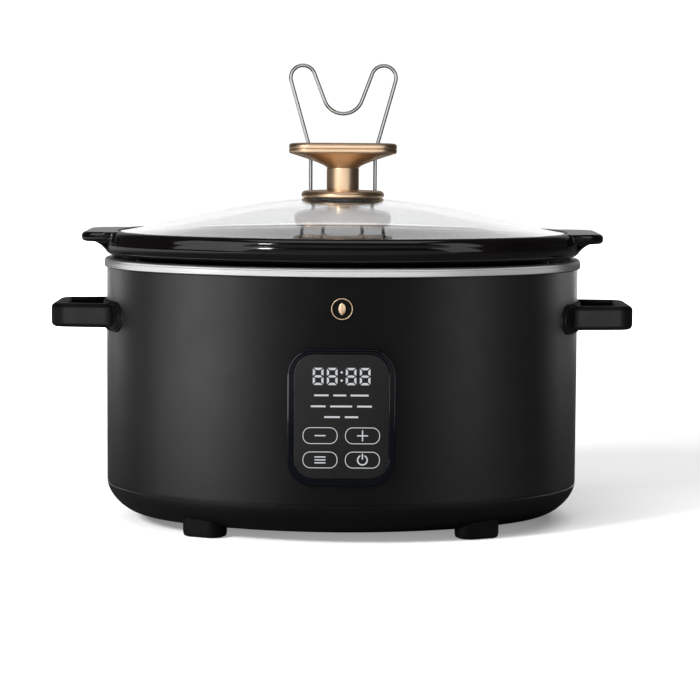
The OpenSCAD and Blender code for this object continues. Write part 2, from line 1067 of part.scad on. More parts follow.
// thin plate clamped under the flange, with two arms that end in the wire's pivot lugs
module rest_bracket() {
    color([0.8, 0.8, 0.82])
        difference() {
            union() {
                translate([0, 0, bracket_z])
                    cylinder(r = 22, h = bracket_t);
                for (s = [-1, 1]) {
                    translate([s * lug_x - lug_w / 2, 8, bracket_z])
                        cube([lug_w, hinge_y - 8, bracket_t]);
                    translate([0, hinge_y, hinge_z])
                        rod_x(lug_r, s * lug_x - lug_w / 2, s * lug_x + lug_w / 2);
                }
            }
            cylinder(r = 3, h = 400);
            translate([0, hinge_y, hinge_z])
                rod_x(pin_r + running, -30, 30);
        }
}

module knob_flange() {
    r = flange_r;
    z = flange_z;
    top = z + flange_h;
    color([0.78, 0.6, 0.4])
        difference() {
            rotate_extrude($fn = 96)
                polygon(concat(
                    [[stem_r + 0.1, top + flange_dome], [stem_r + 0.1, stem_z + 1.4]],
                    [[r - 3.4, stem_z + 1.4], [r - 2.6, z + 0.2]],
                    arc(r - 1.6, z + 1.6, 1.6, -90, 0, 4),
                    arc(r - 3, top - 3, 3, 0, 90, 6)));
            for (s = [-1, 1])
                translate([s * lug_x - lug_w / 2 - 0.4, 18, z - 1])
                    cube([lug_w + 0.8, 16, bracket_z + bracket_t + 0.4 - z + 1]);
        }
}

module knob_body() {
    color([0.78, 0.6, 0.4])
        difference() {
            union() {
                translate([0, 0, stem_z + 0.05])
                    cylinder(r = stem_r, h = cone_z - stem_z);
                hull() {
                    translate([0, 0, cone_z - 0.4])
                        cylinder(r = stem_r, h = 0.4, $fn = 48);
                    translate([0, 0, plate_z - 0.2])
                        linear_extrude(0.4)
                            polygon(round_rect(knob_w - 1.5, knob_d - 1.5, 14.8, 8));
                }
                translate([0, 0, plate_z])
                    linear_extrude(plate_split - gap - plate_z)
                        polygon(round_rect(knob_w, knob_d, 15.5, 8));
            }
            translate([0, 0, stem_z - 1])
                cylinder(r = screw_r + 0.1, h = 20);
        }
}

module knob_top() {
    color([0.8, 0.62, 0.42])
        union() {
            translate([0, 0, plate_split - gap + 0.02])
                linear_extrude(gap)
                    polygon(round_rect(knob_w - 1.2, knob_d - 1.2, 15, 8));
            translate([0, 0, plate_split])
                linear_extrude(knob_z - plate_split)
                    polygon(round_rect(knob_w, knob_d, 15.5, 8));
            translate([0, 0, knob_z - eps])
                linear_extrude(crown)
                    polygon(round_rect(knob_w - 3, knob_d - 3, 14, 8));
        }
}

// ---------------------------------------------------------------- wire rest

// the wire's middle line as [x, z, heading] points: each step is [length, 0] or [bend radius, turn],
// and a turn to the left is positive
function wire_line(steps, x, z, h, i = 0) =
    i == len(steps) ? [[x, z, h]]
    : let (size = steps[i][0], turn = steps[i][1], side = sign(turn), n = max(1, ceil(abs(turn) / 15)))
    turn == 0
        ? concat([[x, z, h]], wire_line(steps, x + size * cos(h), z + size * sin(h), h, i + 1))
        : let (cx = x - side * size * sin(h), cz = z + side * size * cos(h))
        concat(
            [for (k = [0:n - 1]) let (a = h + turn * k / n)
                [cx + side * size * sin(a), cz - side * size * cos(a), a]],
            wire_line(steps, cx + side * size * sin(h + turn), cz - side * size * cos(h + turn),
                h + turn, i + 1));

whole_line = concat(
    [for (i = [len(half_line) - 1:-1:1]) let (p = half_line[i]) [-p[0], p[1], -p[2]]],
    half_line);

module wire_tube(line) {
    n = 12;
    m = len(line);
    points = [for (p = line)
        for (i = [0:n - 1])
            let (a = i * 360 / n)
            [p[0] - wire_r * cos(a) * sin(p[2]), -wire_r * sin(a), p[1] + wire_r * cos(a) * cos(p[2])]];
    sides = [for (k = [0:m - 2])
        for (i = [0:n - 1])
            let (a = k * n + i, b = k * n + (i + 1) % n)
            [a, a + n, b + n, b]];
    caps = [[for (i = [0:n - 1]) i], [for (i = [n - 1:-1:0]) (m - 1) * n + i]];
    polyhedron(points = points, faces = concat(sides, caps));
}

module wire_rest() {
    color([0.85, 0.85, 0.87])
        translate([0, hinge_y, 0])
            union() {
                wire_tube(whole_line);
                ends()
                    translate([0, 0, hinge_z])
                        rod_x(pin_r, lug_x - lug_w / 2 - 0.6, leg_x - pin_bend + 0.5);
            }
}

outer_shell();
rim_ring();
base_ring();
bottom_cover();
foot_front_left();
foot_front_right();
foot_rear_left();
foot_rear_right();
foot_screws();
bottom_screws();
handle_left();
handle_right();
handle_base_left();
handle_base_right();
handle_screws();
heating_well();
heating_band();
insulation_wrap();
heat_shield();
temperature_sensor();
thermal_fuse();
control_bezel();
control_lens();
display_digits();
touch_icons();
display_module();
control_board();
touch_springs();
control_back_cover();
emblem();
cord_gland();
power_board();
board_standoffs();
power_relay();
filter_capacitor();
terminal_block();
heater_leads();
control_ribbon();
stoneware_crock();
lid_glass();
knob_top();
knob_body();
knob_flange();
knob_gasket();
rest_bracket();
knob_washer();
knob_screw();
wire_rest();
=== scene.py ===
"""The slow cooker's looks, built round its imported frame. Sizes are millimetres until a mesh is made."""
from math import atan2, ceil, copysign, cos, pi, radians, sin, sqrt, tan

import bmesh
import bpy
from mathutils import Matrix, Vector


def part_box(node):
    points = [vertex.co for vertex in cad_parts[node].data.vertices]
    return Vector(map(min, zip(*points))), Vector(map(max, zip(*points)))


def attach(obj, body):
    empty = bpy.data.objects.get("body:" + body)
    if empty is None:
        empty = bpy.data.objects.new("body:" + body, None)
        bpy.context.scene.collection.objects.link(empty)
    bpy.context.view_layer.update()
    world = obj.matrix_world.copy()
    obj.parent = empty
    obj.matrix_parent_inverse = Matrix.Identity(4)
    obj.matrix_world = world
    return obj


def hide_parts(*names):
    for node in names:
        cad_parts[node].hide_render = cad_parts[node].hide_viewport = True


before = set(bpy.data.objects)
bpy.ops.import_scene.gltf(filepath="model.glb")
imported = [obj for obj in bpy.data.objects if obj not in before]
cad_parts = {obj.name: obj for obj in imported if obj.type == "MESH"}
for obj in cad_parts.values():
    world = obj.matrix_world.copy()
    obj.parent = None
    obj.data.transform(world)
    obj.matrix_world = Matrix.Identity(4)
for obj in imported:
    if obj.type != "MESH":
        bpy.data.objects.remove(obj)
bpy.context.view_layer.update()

MM = 0.001


def box_mm(node):
    """A node's lowest and highest corners, in millimetres."""
    lo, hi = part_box(node)
    return [round(v / MM, 1) for v in lo], [round(v / MM, 1) for v in hi]


# ---------------------------------------------------------------- the oval

SHELL_LO, SHELL_HI = box_mm("outer_shell")
HALF_W, HALF_D = SHELL_HI[0], SHELL_HI[1]
END_C = 1.5 * (HALF_W - HALF_D)
END_R = HALF_W - END_C
SIDE_C = END_C * 4 / 3
SIDE_R = END_R + END_C * 5 / 3
JOIN = atan2(4, 3)


def oval_point(t, offset=0.0):
    """A point on the oval offset by so many millimetres, where the normal points at angle t."""
    q = (t + pi) % (2 * pi) - pi
    if abs(q) <= JOIN:
        return END_C + (END_R + offset) * cos(q), (END_R + offset) * sin(q)
    if abs(q) >= pi - JOIN:
        return (END_R + offset) * cos(q) - END_C, (END_R + offset) * sin(q)
    return (SIDE_R + offset) * cos(q), (SIDE_R + offset) * sin(q) - copysign(SIDE_C, q)


def stations(end_steps, side_steps):
    """Normal angles once round the oval, evenly spaced along each of its four arcs."""
    angles = []
    for start, stop, steps in ((-JOIN, JOIN, end_steps), (JOIN, pi - JOIN, side_steps),
                               (pi - JOIN, pi + JOIN, end_steps), (pi + JOIN, 2 * pi - JOIN, side_steps)):
        angles += [start + (stop - start) * i / steps for i in range(steps)]
    return angles


ROUND = stations(96, 120)
FINE_ROUND = stations(300, 120)


# ---------------------------------------------------------------- mesh tools

def arc(cx, cy, r, start, stop, steps=8):
    """Points on an arc, with its angles in degrees."""
    return [(cx + r * cos(radians(start + (stop - start) * i / steps)),
             cy + r * sin(radians(start + (stop - start) * i / steps))) for i in range(steps + 1)]


def rounded(corners, steps=6, closed=True):
    """An outline of (x, y, radius) corners with each corner rounded by its radius."""
    points = []
    count = len(corners)
    for i, (x, y, r) in enumerate(corners):
        if r <= 0 or (not closed and i in (0, count - 1)):
            points.append((x, y))
            continue
        here = Vector((x, y))
        back = (Vector(corners[i - 1][:2]) - here).normalized()
        on = (Vector(corners[(i + 1) % count][:2]) - here).normalized()
        half = back.angle(on) / 2
        reach = r / tan(half)
        centre = here + (back + on).normalized() * (r / sin(half))
        first = here + back * reach - centre
        last = here + on * reach - centre
        turn = first.angle_signed(last)
        for k in range(steps + 1):
            a = -turn * k / steps
            points.append((centre.x + first.x * cos(a) - first.y * sin(a),
                           centre.y + first.x * sin(a) + first.y * cos(a)))
    return points


def round_rect(w, h, r, steps):
    """A rounded rectangle about the middle."""
    return rounded([(w / 2, h / 2, r), (-w / 2, h / 2, r), (-w / 2, -h / 2, r), (w / 2, -h / 2, r)], steps)


def make(name, points, faces, material, sharp=38.0, weighted=True):
    """A smooth-shaded mesh object from millimetre points; edges sharper than the angle stay crisp."""
    mesh = bpy.data.meshes.new(name)
    mesh.from_pydata([tuple(c * MM for c in p) for p in points], [], faces)
    build = bmesh.new()
    build.from_mesh(mesh)
    bmesh.ops.recalc_face_normals(build, faces=build.faces)
    for edge in build.edges:
        if len(edge.link_faces) == 2 and edge.calc_face_angle(0) > radians(sharp):
            edge.smooth = False
    for face in build.faces:
        face.smooth = True
    build.to_mesh(mesh)
    build.free()
    piece = bpy.data.objects.new(name, mesh)
    bpy.context.scene.collection.objects.link(piece)
    mesh.materials.append(material)
    if weighted:
        normals = piece.modifiers.new("normals", "WEIGHTED_NORMAL")
        normals.keep_sharp = True
    return piece


def loft(name, rings, material, loop=False, **shading):
    """Joins closed rings of equal point counts. With loop the last joins the first, else both are capped."""
    size = len(rings[0])
    points = [p for ring in rings for p in ring]
    faces = []
    for k in range(len(rings) if loop else len(rings) - 1):
        a, b = k * size, (k + 1) % len(rings) * size
        for i in range(size):
            j = (i + 1) % size
            faces.append((a + i, a + j, b + j, b + i))
    if not loop:
        faces.append(tuple(range(size)))
        faces.append(tuple(range(len(points) - size, len(points))))
    return make(name, points, faces, material, **shading)


def turned_round_oval(name, section, material, angles=ROUND, solid=False, **shading):
    """Carries a section of (offset, height) points, or a function of the angle, round the oval.

    A closed section makes a ring. With solid, an open one makes a body, capped at the section's two ends.
    """
    rings = []
    for t in angles:
        shape = section(t) if callable(section) else section
        rings.append([oval_point(t, o) + (z,) for o, z in shape])
    if not solid:
        return loft(name, rings, material, loop=True, **shading)
    across = [[ring[k] for ring in rings] for k in range(len(rings[0]))]
    return loft(name, across, material, **shading)


def circle(r, steps):
    """Points evenly round a circle about the middle."""
    return [(r * cos(2 * pi * i / steps), r * sin(2 * pi * i / steps)) for i in range(steps)]


def settle(piece, body, slot, *nodes):
    """Rides the piece on its body, in place of the CAD nodes that it stands for."""
    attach(piece, body)
    if nodes:
        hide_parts(*nodes)
    return piece


# ---------------------------------------------------------------- materials

MID_NOISE = (0.3, 0.7)


def new_material(name, **sockets):
    """A Principled material with its constants set on the shader's own sockets."""
    material = bpy.data.materials.new(name)
    material.use_nodes = True
    for label, value in sockets.items():
        shader_of(material).inputs[label.replace("_", " ")].default_value = value
    return material


def shader_of(material):
    return material.node_tree.nodes["Principled BSDF"]


def add(material, kind, **settings):
    """A new node, with its properties or sockets set. Also serves the world, which has a node tree too."""
    node = material.node_tree.nodes.new(kind)
    for label, value in settings.items():
        if hasattr(node, label):
            setattr(node, label, value)
        else:
            node.inputs[label.replace("_", " ")].default_value = value
    return node


def link(material, source, target):
    material.node_tree.links.new(source, target)


def coordinates(material, scale=(1, 1, 1)):
    """The object's own coordinates, stretched by a scale."""
    place = add(material, "ShaderNodeTexCoord")
    mapping = add(material, "ShaderNodeMapping")
    mapping.inputs["Scale"].default_value = scale
    link(material, place.outputs["Object"], mapping.inputs["Vector"])
    return mapping.outputs["Vector"]


def noise(material, scale, detail, stretch=(1, 1, 1)):
    node = add(material, "ShaderNodeTexNoise", Scale=scale, Detail=detail, Roughness=0.55)
    link(material, coordinates(material, stretch), node.inputs["Vector"])
    return node.outputs["Fac"]


def spread(material, factor, low, high, start=MID_NOISE[0], stop=MID_NOISE[1], **settings):
    """Maps values from start to stop on to the numbers from low to high."""
    node = add(material, "ShaderNodeMapRange", **settings)
    for label, value in (("From Min", start), ("From Max", stop), ("To Min", low), ("To Max", high)):
        node.inputs[label].default_value = value
    link(material, factor, node.inputs["Value"])
    return node.outputs["Result"]


def vary_colour(material, factor, first, second):
    ramp = add(material, "ShaderNodeValToRGB")
    for element, position, colour in zip(ramp.color_ramp.elements, MID_NOISE, (first, second)):
        element.position = position
        element.color = (*colour, 1)
    link(material, factor, ramp.inputs["Fac"])
    link(material, ramp.outputs["Color"], shader_of(material).inputs["Base Color"])


def vary_roughness(material, factor, low, high):
    link(material, spread(material, factor, low, high), shader_of(material).inputs["Roughness"])


def emboss(material, factor, strength, depth_mm):
    """Adds a bump to what the material has already."""
    bump = add(material, "ShaderNodeBump", Strength=strength)
    bump.inputs["Distance"].default_value = depth_mm * MM
    link(material, factor, bump.inputs["Height"])
    target = shader_of(material).inputs["Normal"]
    if target.is_linked:
        link(material, target.links[0].from_socket, bump.inputs["Normal"])
    link(material, bump.outputs["Normal"], target)


def moulded(name, dark, light, low, high, grain=900.0, depth=0.02, specular=0.35):
    """Matt moulded plastic or rubber: a fine grain, a slow change of tone and of gloss."""
    material = new_material(name, Specular_IOR_Level=specular)
    vary_colour(material, noise(material, 14, 5), dark, light)
    vary_roughness(material, noise(material, 45, 6), low, high)
    emboss(material, noise(material, grain, 3), 0.35, depth)
    return material


def metal(name, dark, light, low, high, grain=(1, 1, 1), scale=240.0, strength=0.25):
    """Bare or plated metal whose grain runs where the stretch is small."""
    material = new_material(name, Metallic=1.0)
    vary_colour(material, noise(material, scale / 4, 5, grain), dark, light)
    vary_roughness(material, noise(material, scale, 4, grain), low, high)
    emboss(material, noise(material, scale * 2, 3, grain), strength, 0.01)
    return material


def powder_coat():
    """Satin black paint: a very fine orange peel over a slow change of tone."""
    material = new_material("powder_coat", Specular_IOR_Level=0.3)
    vary_colour(material, noise(material, 9, 4), (0.0030, 0.0030, 0.0032), (0.0046, 0.0046, 0.0048))
    vary_roughness(material, noise(material, 60, 6), 0.38, 0.44)
    emboss(material, noise(material, 700, 3), 0.30, 0.012)
    return material


def glaze():
    """Black-brown stoneware glaze: deep gloss, a slow swell and a few pinholes."""
    material = new_material("glaze", Coat_Weight=0.35, Coat_Roughness=0.03, Specular_IOR_Level=0.5)
    vary_colour(material, noise(material, 22, 6), (0.0065, 0.0045, 0.0050), (0.0140, 0.0095, 0.0100))
    vary_roughness(material, noise(material, 70, 5), 0.06, 0.13)
    emboss(material, noise(material, 38, 2), 0.12, 0.25)
    pinholes = add(material, "ShaderNodeTexVoronoi", Scale=150.0)
    link(material, coordinates(material), pinholes.inputs["Vector"])
    emboss(material, spread(material, pinholes.outputs["Distance"], 0.0, 1.0, 0.02, 0.08), 0.10, 0.03)
    return material


def clear_glass():
    """Clear tempered glass with the faintest unevenness in its gloss."""
    material = new_material("clear_glass", Transmission_Weight=1.0, IOR=1.5)
    vary_colour(material, noise(material, 6, 2), (0.985, 0.991, 0.998), (0.994, 0.997, 1.0))
    vary_roughness(material, noise(material, 30, 5), 0.0, 0.018)
    emboss(material, noise(material, 11, 1), 0.05, 0.1)
    return material


def gold_satin():
    """Champagne gold plating with a fine satin finish."""
    material = new_material("gold_satin", Metallic=1.0)
    vary_colour(material, noise(material, 35, 5), (0.82, 0.585, 0.385), (0.87, 0.635, 0.430))
    vary_roughness(material, noise(material, 60, 5), 0.30, 0.36)
    emboss(material, noise(material, 900, 2), 0.05, 0.001)
    return material


def brushed_rim():
    """Steel brushed along the rim: fine lines that run level round the oval."""
    lines = (18, 18, 2600)
    material = new_material("brushed_steel", Metallic=1.0)
    vary_colour(material, noise(material, 1.0, 6, lines), (0.70, 0.70, 0.71), (0.88, 0.88, 0.89))
    vary_roughness(material, noise(material, 1.4, 5, lines), 0.26, 0.42)
    emboss(material, noise(material, 2.0, 4, lines), 0.35, 0.01)
    return material


def panel_gloss():
    """The bezel's mirror-black, faintly blue, with a trace of handling haze."""
    material = new_material("panel_gloss", Specular_IOR_Level=0.35)
    vary_colour(material, noise(material, 30, 4), (0.0018, 0.0028, 0.0055), (0.0030, 0.0042, 0.0080))
    vary_roughness(material, noise(material, 90, 6), 0.05, 0.10)
    emboss(material, noise(material, 60, 2), 0.05, 0.02)
    return material


def lens_face():
    """Dark smoked window with a satin anti-glare face."""
    material = new_material("lens_face", Specular_IOR_Level=0.5)
    vary_colour(material, noise(material, 25, 4), (0.0060, 0.0060, 0.0066), (0.0080, 0.0080, 0.0086))
    vary_roughness(material, noise(material, 40, 5), 0.27, 0.31)
    emboss(material, noise(material, 2200, 2), 0.05, 0.001)
    return material


def lit_white():
    """White print lit from behind."""
    material = new_material("lit_white", Emission_Strength=0.58, Roughness=0.5)
    shader_of(material).inputs["Emission Color"].default_value = (0.93, 0.96, 1.0, 1)
    vary_colour(material, noise(material, 400, 3), (0.60, 0.62, 0.65), (0.72, 0.74, 0.76))
    vary_roughness(material, noise(material, 500, 2), 0.4, 0.6)
    return material


def circuit():
    """Green solder mask with copper lines showing through it."""
    material = new_material("circuit_mask", Coat_Weight=0.3)
    tracks = add(material, "ShaderNodeTexBrick", Scale=90.0)
    tracks.inputs["Color1"].default_value = (0.012, 0.11, 0.035, 1)
    tracks.inputs["Color2"].default_value = (0.009, 0.085, 0.028, 1)
    tracks.inputs["Mortar"].default_value = (0.05, 0.22, 0.07, 1)
    link(material, coordinates(material), tracks.inputs["Vector"])
    link(material, tracks.outputs["Color"], shader_of(material).inputs["Base Color"])
    vary_roughness(material, noise(material, 300, 3), 0.3, 0.45)
    return material


def glass_fibre():
    """Woven glass-fibre wrap: crossing yarns with a soft, uneven nap."""
    material = new_material("glass_fibre", Sheen_Weight=0.3)
    weave = add(material, "ShaderNodeTexWave", Scale=220.0, Distortion=1.5, Detail=2.0)
    link(material, coordinates(material), weave.inputs["Vector"])
    vary_colour(material, weave.outputs["Fac"], (0.55, 0.50, 0.38), (0.80, 0.76, 0.64))
    vary_roughness(material, noise(material, 80, 3), 0.75, 0.95)
    emboss(material, weave.outputs["Fac"], 0.6, 0.3)
    return material


PAINT = powder_coat()
RIM = brushed_rim()
BASE = moulded("base_plastic", (0.0030, 0.0030, 0.0032), (0.0046, 0.0046, 0.0048), 0.40, 0.47, specular=0.3)
HANDLE = moulded("handle_plastic", (0.0050, 0.0050, 0.0052), (0.0075, 0.0075, 0.0078), 0.42, 0.52, 1100,
                 specular=0.3)
RUBBER = moulded("foot_rubber", (0.003, 0.003, 0.003), (0.005, 0.005, 0.005), 0.6, 0.75, 600, 0.05, 0.1)
COVER = moulded("cover_plate", (0.030, 0.030, 0.031), (0.045, 0.045, 0.046), 0.5, 0.65, 500, 0.03)
INNER = moulded("inner_plastic", (0.012, 0.012, 0.012), (0.020, 0.020, 0.020), 0.4, 0.55)
# Light grey: partly a silicone seal's own colour, partly painted light that brightens the shaded gap under
# the knob's foot.
SEAL_PAINTED_LIGHT = moulded("silicone_seal_painted_light", (0.50, 0.50, 0.50), (0.62, 0.62, 0.62), 0.5, 0.6, 400, 0.02)
GLAZE = glaze()
GLASS = clear_glass()
GOLD = gold_satin()
CHROME = metal("wire_chrome", (0.52, 0.53, 0.55), (0.60, 0.61, 0.63), 0.22, 0.27, scale=24, strength=0.0)
ZINC = metal("zinc_plate", (0.50, 0.50, 0.49), (0.66, 0.66, 0.64), 0.25, 0.42)
WELL = metal("well_aluminium", (0.58, 0.58, 0.57), (0.70, 0.70, 0.69), 0.28, 0.42, (1, 1, 14), 160)
HEATER = metal("heater_band", (0.42, 0.40, 0.34), (0.56, 0.54, 0.48), 0.35, 0.5, (1, 1, 20), 160)
BRASS = metal("brass_parts", (0.62, 0.47, 0.22), (0.74, 0.58, 0.32), 0.2, 0.35)
BEZEL = panel_gloss()
LENS = lens_face()
PRINT = lit_white()
BOARD = circuit()
FIBRE = glass_fibre()
PALE = moulded("sensor_case", (0.62, 0.62, 0.60), (0.75, 0.75, 0.73), 0.25, 0.4, 300, 0.01)
RELAY = moulded("relay_case", (0.04, 0.13, 0.32), (0.06, 0.19, 0.42), 0.35, 0.5, 500, 0.01)
CAPACITOR = moulded("capacitor_case", (0.38, 0.28, 0.06), (0.52, 0.40, 0.12), 0.25, 0.4, 400, 0.01)
SLEEVE = moulded("lead_sleeve", (0.42, 0.06, 0.04), (0.58, 0.10, 0.06), 0.4, 0.6, 700, 0.02)
RIBBON = moulded("ribbon_cable", (0.50, 0.50, 0.52), (0.64, 0.64, 0.66), 0.4, 0.5, 500, 0.02)


# ---------------------------------------------------------------- casing

def make_shell():
    low, top = SHELL_LO[2], SHELL_HI[2]
    thick = 1.2
    section = rounded([(-thick, low, 0.2), (0, low, 0.35), (0, top, 0.6), (-thick, top, 0.2)], 4)
    settle(turned_round_oval("shell_wall", section, PAINT), "base", "painted_shell", "outer_shell")


def make_rim():
    low, top = box_mm("rim_ring")[0][2], box_mm("rim_ring")[1][2]
    groove = low + 4.2
    section = rounded([(-4.5, low, 0.2), (1.7, low, 0.7), (1.7, groove, 0.35), (1.15, groove + 0.2, 0.15),
                       (1.5, groove + 0.35, 0.1), (1.5, top, 1.85), (-4.5, top, 0.8)], 8)
    settle(turned_round_oval("rim_band", section, RIM), "base", "brushed_rim", "rim_ring")


BASE_IN = 22.0        # how far the base's round comes in from the wall
BASE_POWER = 1.25     # 1 would be an ellipse's quarter, and more is squarer
SEAM = 0.8            # height of the shadow gap under the shell


def base_curve(inset, low, top, steps):
    """The base's lower wall from the seam in to the flat underside, some way inside its outer face."""
    rise = top - SEAM - low
    curve = []
    for k in range(steps + 1):
        a = pi / 2 * k / steps
        curve.append((-inset - (BASE_IN - inset) * (1 - max(cos(a), 0.0) ** BASE_POWER),
                      low + inset + (rise - inset) * (1 - sin(a) ** BASE_POWER)))
    return curve


def base_height(x, y, low, top):
    """Height of the base's outer face over a place on the floor."""
    px, py = abs(x), abs(y)
    if py * 3 > (px - END_C) * 4:
        offset = sqrt(px * px + (py + SIDE_C) ** 2) - SIDE_R
    else:
        offset = sqrt((px - END_C) ** 2 + py * py) - END_R
    if offset <= -BASE_IN:
        return low
    flat = min(1.0, max(0.0, 1 + offset / BASE_IN)) ** (1 / BASE_POWER)
    return low + (top - SEAM - low) * (1 - (1 - flat * flat) ** (BASE_POWER / 2))


def make_base_ring():
    low, top = box_mm("base_ring")[0][2], box_mm("base_ring")[1][2]
    wall, lip = 2.6, -BASE_IN - 4
    section = ([(lip, low + wall), (lip, low + 0.3), (lip + 0.3, low)] + base_curve(0, low, top, 40)[:1:-1]
               + [(0, top - 1.2), (-0.25, top - SEAM - 0.1), (-SEAM, top - SEAM), (-SEAM, top), (-3, top)]
               + base_curve(wall, low, top, 20)[1:])
    settle(turned_round_oval("base_moulding", section, BASE), "base", "base_plastic", "base_ring")


def make_well():
    low, top = box_mm("heating_well")[0][2], box_mm("heating_well")[1][2]
    wall, bend, thick, flange = -18, 14, 0.8, 1
    floor = low + thick
    section = ([(-80, low)] + arc(wall - bend, floor + bend, bend + thick, -90, 0, 10)
               + rounded([(wall + thick, top - flange - 2, 0), (wall + thick, top - flange, 0.6),
                          (-1.3, top - flange, 0.1), (-1.3, top, 0.3), (wall, top, 1.2),
                          (wall, top - 3, 0)], 5, False)
               + arc(wall - bend, floor + bend, bend, 0, -90, 10) + [(-80, floor)])
    piece = turned_round_oval("well_liner", section, WELL, solid=True)
    settle(piece, "base", "well_metal", "heating_well")


def make_feet():
    """Rounded pads set along the oval, tapering to a soft sole, with the screw's recess in each."""
    base_low, base_top = box_mm("base_ring")[0][2], box_mm("base_ring")[1][2]
    w, d, turn = 31.0, 21.0, radians(24)
    for name in ("foot_front_left", "foot_front_right", "foot_rear_left", "foot_rear_right"):
        lo, hi = box_mm(name)
        cx, cy = (lo[0] + hi[0]) / 2, (lo[1] + hi[1]) / 2
        angle = -copysign(turn, cx * cy)

        def outline(inset):
            return [(cx + x * cos(angle) - y * sin(angle), cy + x * sin(angle) + y * cos(angle))
                    for x, y in round_rect(w - 2 * inset, d - 2 * inset, 9 - inset, 12)]

        def seated(points, drop):
            return [(x, y, base_height(x, y, base_low, base_top) - drop) for x, y in points]

        sole = ((2.7, 0.0), (1.6, 0.12), (0.8, 0.5), (0.4, 1.3), (0.05, 3.6))
        rings = [[(x, y, z) for x, y in outline(inset)] for inset, z in sole]
        crown = ((0.05, 0.45), (0.25, 0.15), (0.7, 0.05), (3.0, 0.05))
        rings += [seated(outline(inset), drop) for inset, drop in crown]
        heading = [atan2(y - cy, x - cx) for x, y in outline(0)]
        holes = [[(cx + r * cos(a), cy + r * sin(a)) for a in heading] for r in (2.3, 4.4, 4.7)]
        rings.append(seated(holes[0], 0.05))
        for hole, z in ((holes[0], 3.9), (holes[1], 3.9), (holes[1], 0.3), (holes[2], 0.0)):
            rings.append([(x, y, z) for x, y in hole])
        piece = loft("pad_" + name[5:], rings, RUBBER, loop=True)
        settle(piece, "base", "foot_rubber", name)


# ---------------------------------------------------------------- handles

GRIP = {"thick": 10.5, "span": 72.0, "bend": 7.0, "splay": radians(7), "corner": 3.2}
ARM_STEPS = 16


def wall_x(y, offset):
    """How far out the wall stands at a place along Y, on the end arc."""
    return END_C + sqrt((END_R + offset) ** 2 - y * y)


def handle_path(outer):
    """Middle line of a handle's half loop in plan with its headings: half the grip bar and one bend."""
    bend = GRIP["bend"]
    bend_x, bend_y = outer - bend, GRIP["span"] / 2 - GRIP["thick"] / 2 - bend
    half = [(outer, bend_y * k / 12, pi / 2) for k in range(13)]
    turn = pi / 2 - GRIP["splay"]
    for k in range(1, 19):
        a = turn * k / 18
        half.append((bend_x + bend * cos(a), bend_y + bend * sin(a), pi / 2 + a))
    return half


def reach_of_arm(x, y, heading, offset):
    """How far an arm runs from its bend before it comes to the wall."""
    run = 30.0
    for _ in range(12):
        px, py = x + run * cos(heading), y + run * sin(heading)
        run += (px - wall_x(abs(py), offset)) / -cos(heading)
    return run


def make_handle(side, sign):
    """A grip bar with two arms that swell a little and run into the wall plate."""
    name = "handle_" + side
    lo, hi = box_mm(name)
    middle = (lo[2] + hi[2]) / 2
    tall = hi[2] - lo[2]
    path = handle_path(max(abs(lo[0]), abs(hi[0])) - GRIP["thick"] / 2)

    def section(swell):
        shape = round_rect(GRIP["thick"] + 2 * swell, tall - 0.04 + 2 * swell, GRIP["corner"], 10)
        return [(u * (1 - 0.12 * (v / tall * 2) ** 2), v) for u, v in shape]

    half = [[(x + u * sin(h), y - u * cos(h), middle + v) for u, v in section(0)] for x, y, h in path]
    x, y, h = path[-1]
    starts = half[-1]
    runs = [reach_of_arm(px, py, h, 0.9) for px, py, _ in starts]
    for k in range(1, ARM_STEPS + 1):
        share = k / ARM_STEPS
        swell = 1.5 * max(0.0, (share - 0.86) / 0.14) ** 2
        ring = []
        for (u, v), run in zip(section(swell), runs):
            along = run * share
            ring.append((x + u * sin(h) + along * cos(h), y - u * cos(h) + along * sin(h), middle + v))
        half.append(ring)
    mirrored = [[(px, -py, pz) for px, py, pz in ring] for ring in reversed(half[1:])]
    rings = [[(sign * px, py, pz) for px, py, pz in ring] for ring in mirrored + half]
    piece = loft("loop_" + side, rings, HANDLE)
    settle(piece, "base", "handle_plastic", name)


def make_wall_plate(side, sign):
    """The stepped stadium plate that wraps the wall under a handle's arms."""
    lo, hi = box_mm("handle_base_" + side)
    middle = (lo[2] + hi[2]) / 2
    w, h = hi[1] - lo[1], hi[2] - lo[2]
    levels = [(0.5, -0.6), (0.0, 0.0), (0.0, 0.55), (0.12, 0.85), (0.45, 1.1), (0.9, 1.2), (1.7, 1.2),
              (1.95, 1.3), (2.0, 1.5), (2.0, 1.8), (2.15, 2.1), (2.5, 2.32), (3.0, 2.4)]
    levels += [(3.0 + 1.85 * k, 2.4) for k in range(1, 5)]
    rings = []
    for inset, out in levels:
        r = (h - 2 * inset) / 2
        run = (w - 2 * inset) / 2 - r
        shape = [(run - 2 * run * k / 48, r) for k in range(48)]
        shape += [(-run + y, z) for y, z in arc(0, 0, r, 90, 270, 24)[:-1]]
        shape += [(-run + 2 * run * k / 48, -r) for k in range(48)]
        shape += [(run + y, z) for y, z in arc(0, 0, r, -90, 90, 24)[:-1]]
        rings.append([(sign * wall_x(y, out), y, middle + z) for y, z in shape])
    piece = loft("wall_plate_" + side, rings, HANDLE)
    settle(piece, "base", "handle_plastic", "handle_base_" + side)


# ---------------------------------------------------------------- control panel

def panel_rings(levels, centre_z):
    """Rounded-rectangle rings facing -Y: each level is (width, height, shift up, radius, depth)."""
    return [[(x, y, centre_z + up + z) for x, z in round_rect(w, h, r, 18)] for w, h, up, r, y in levels]


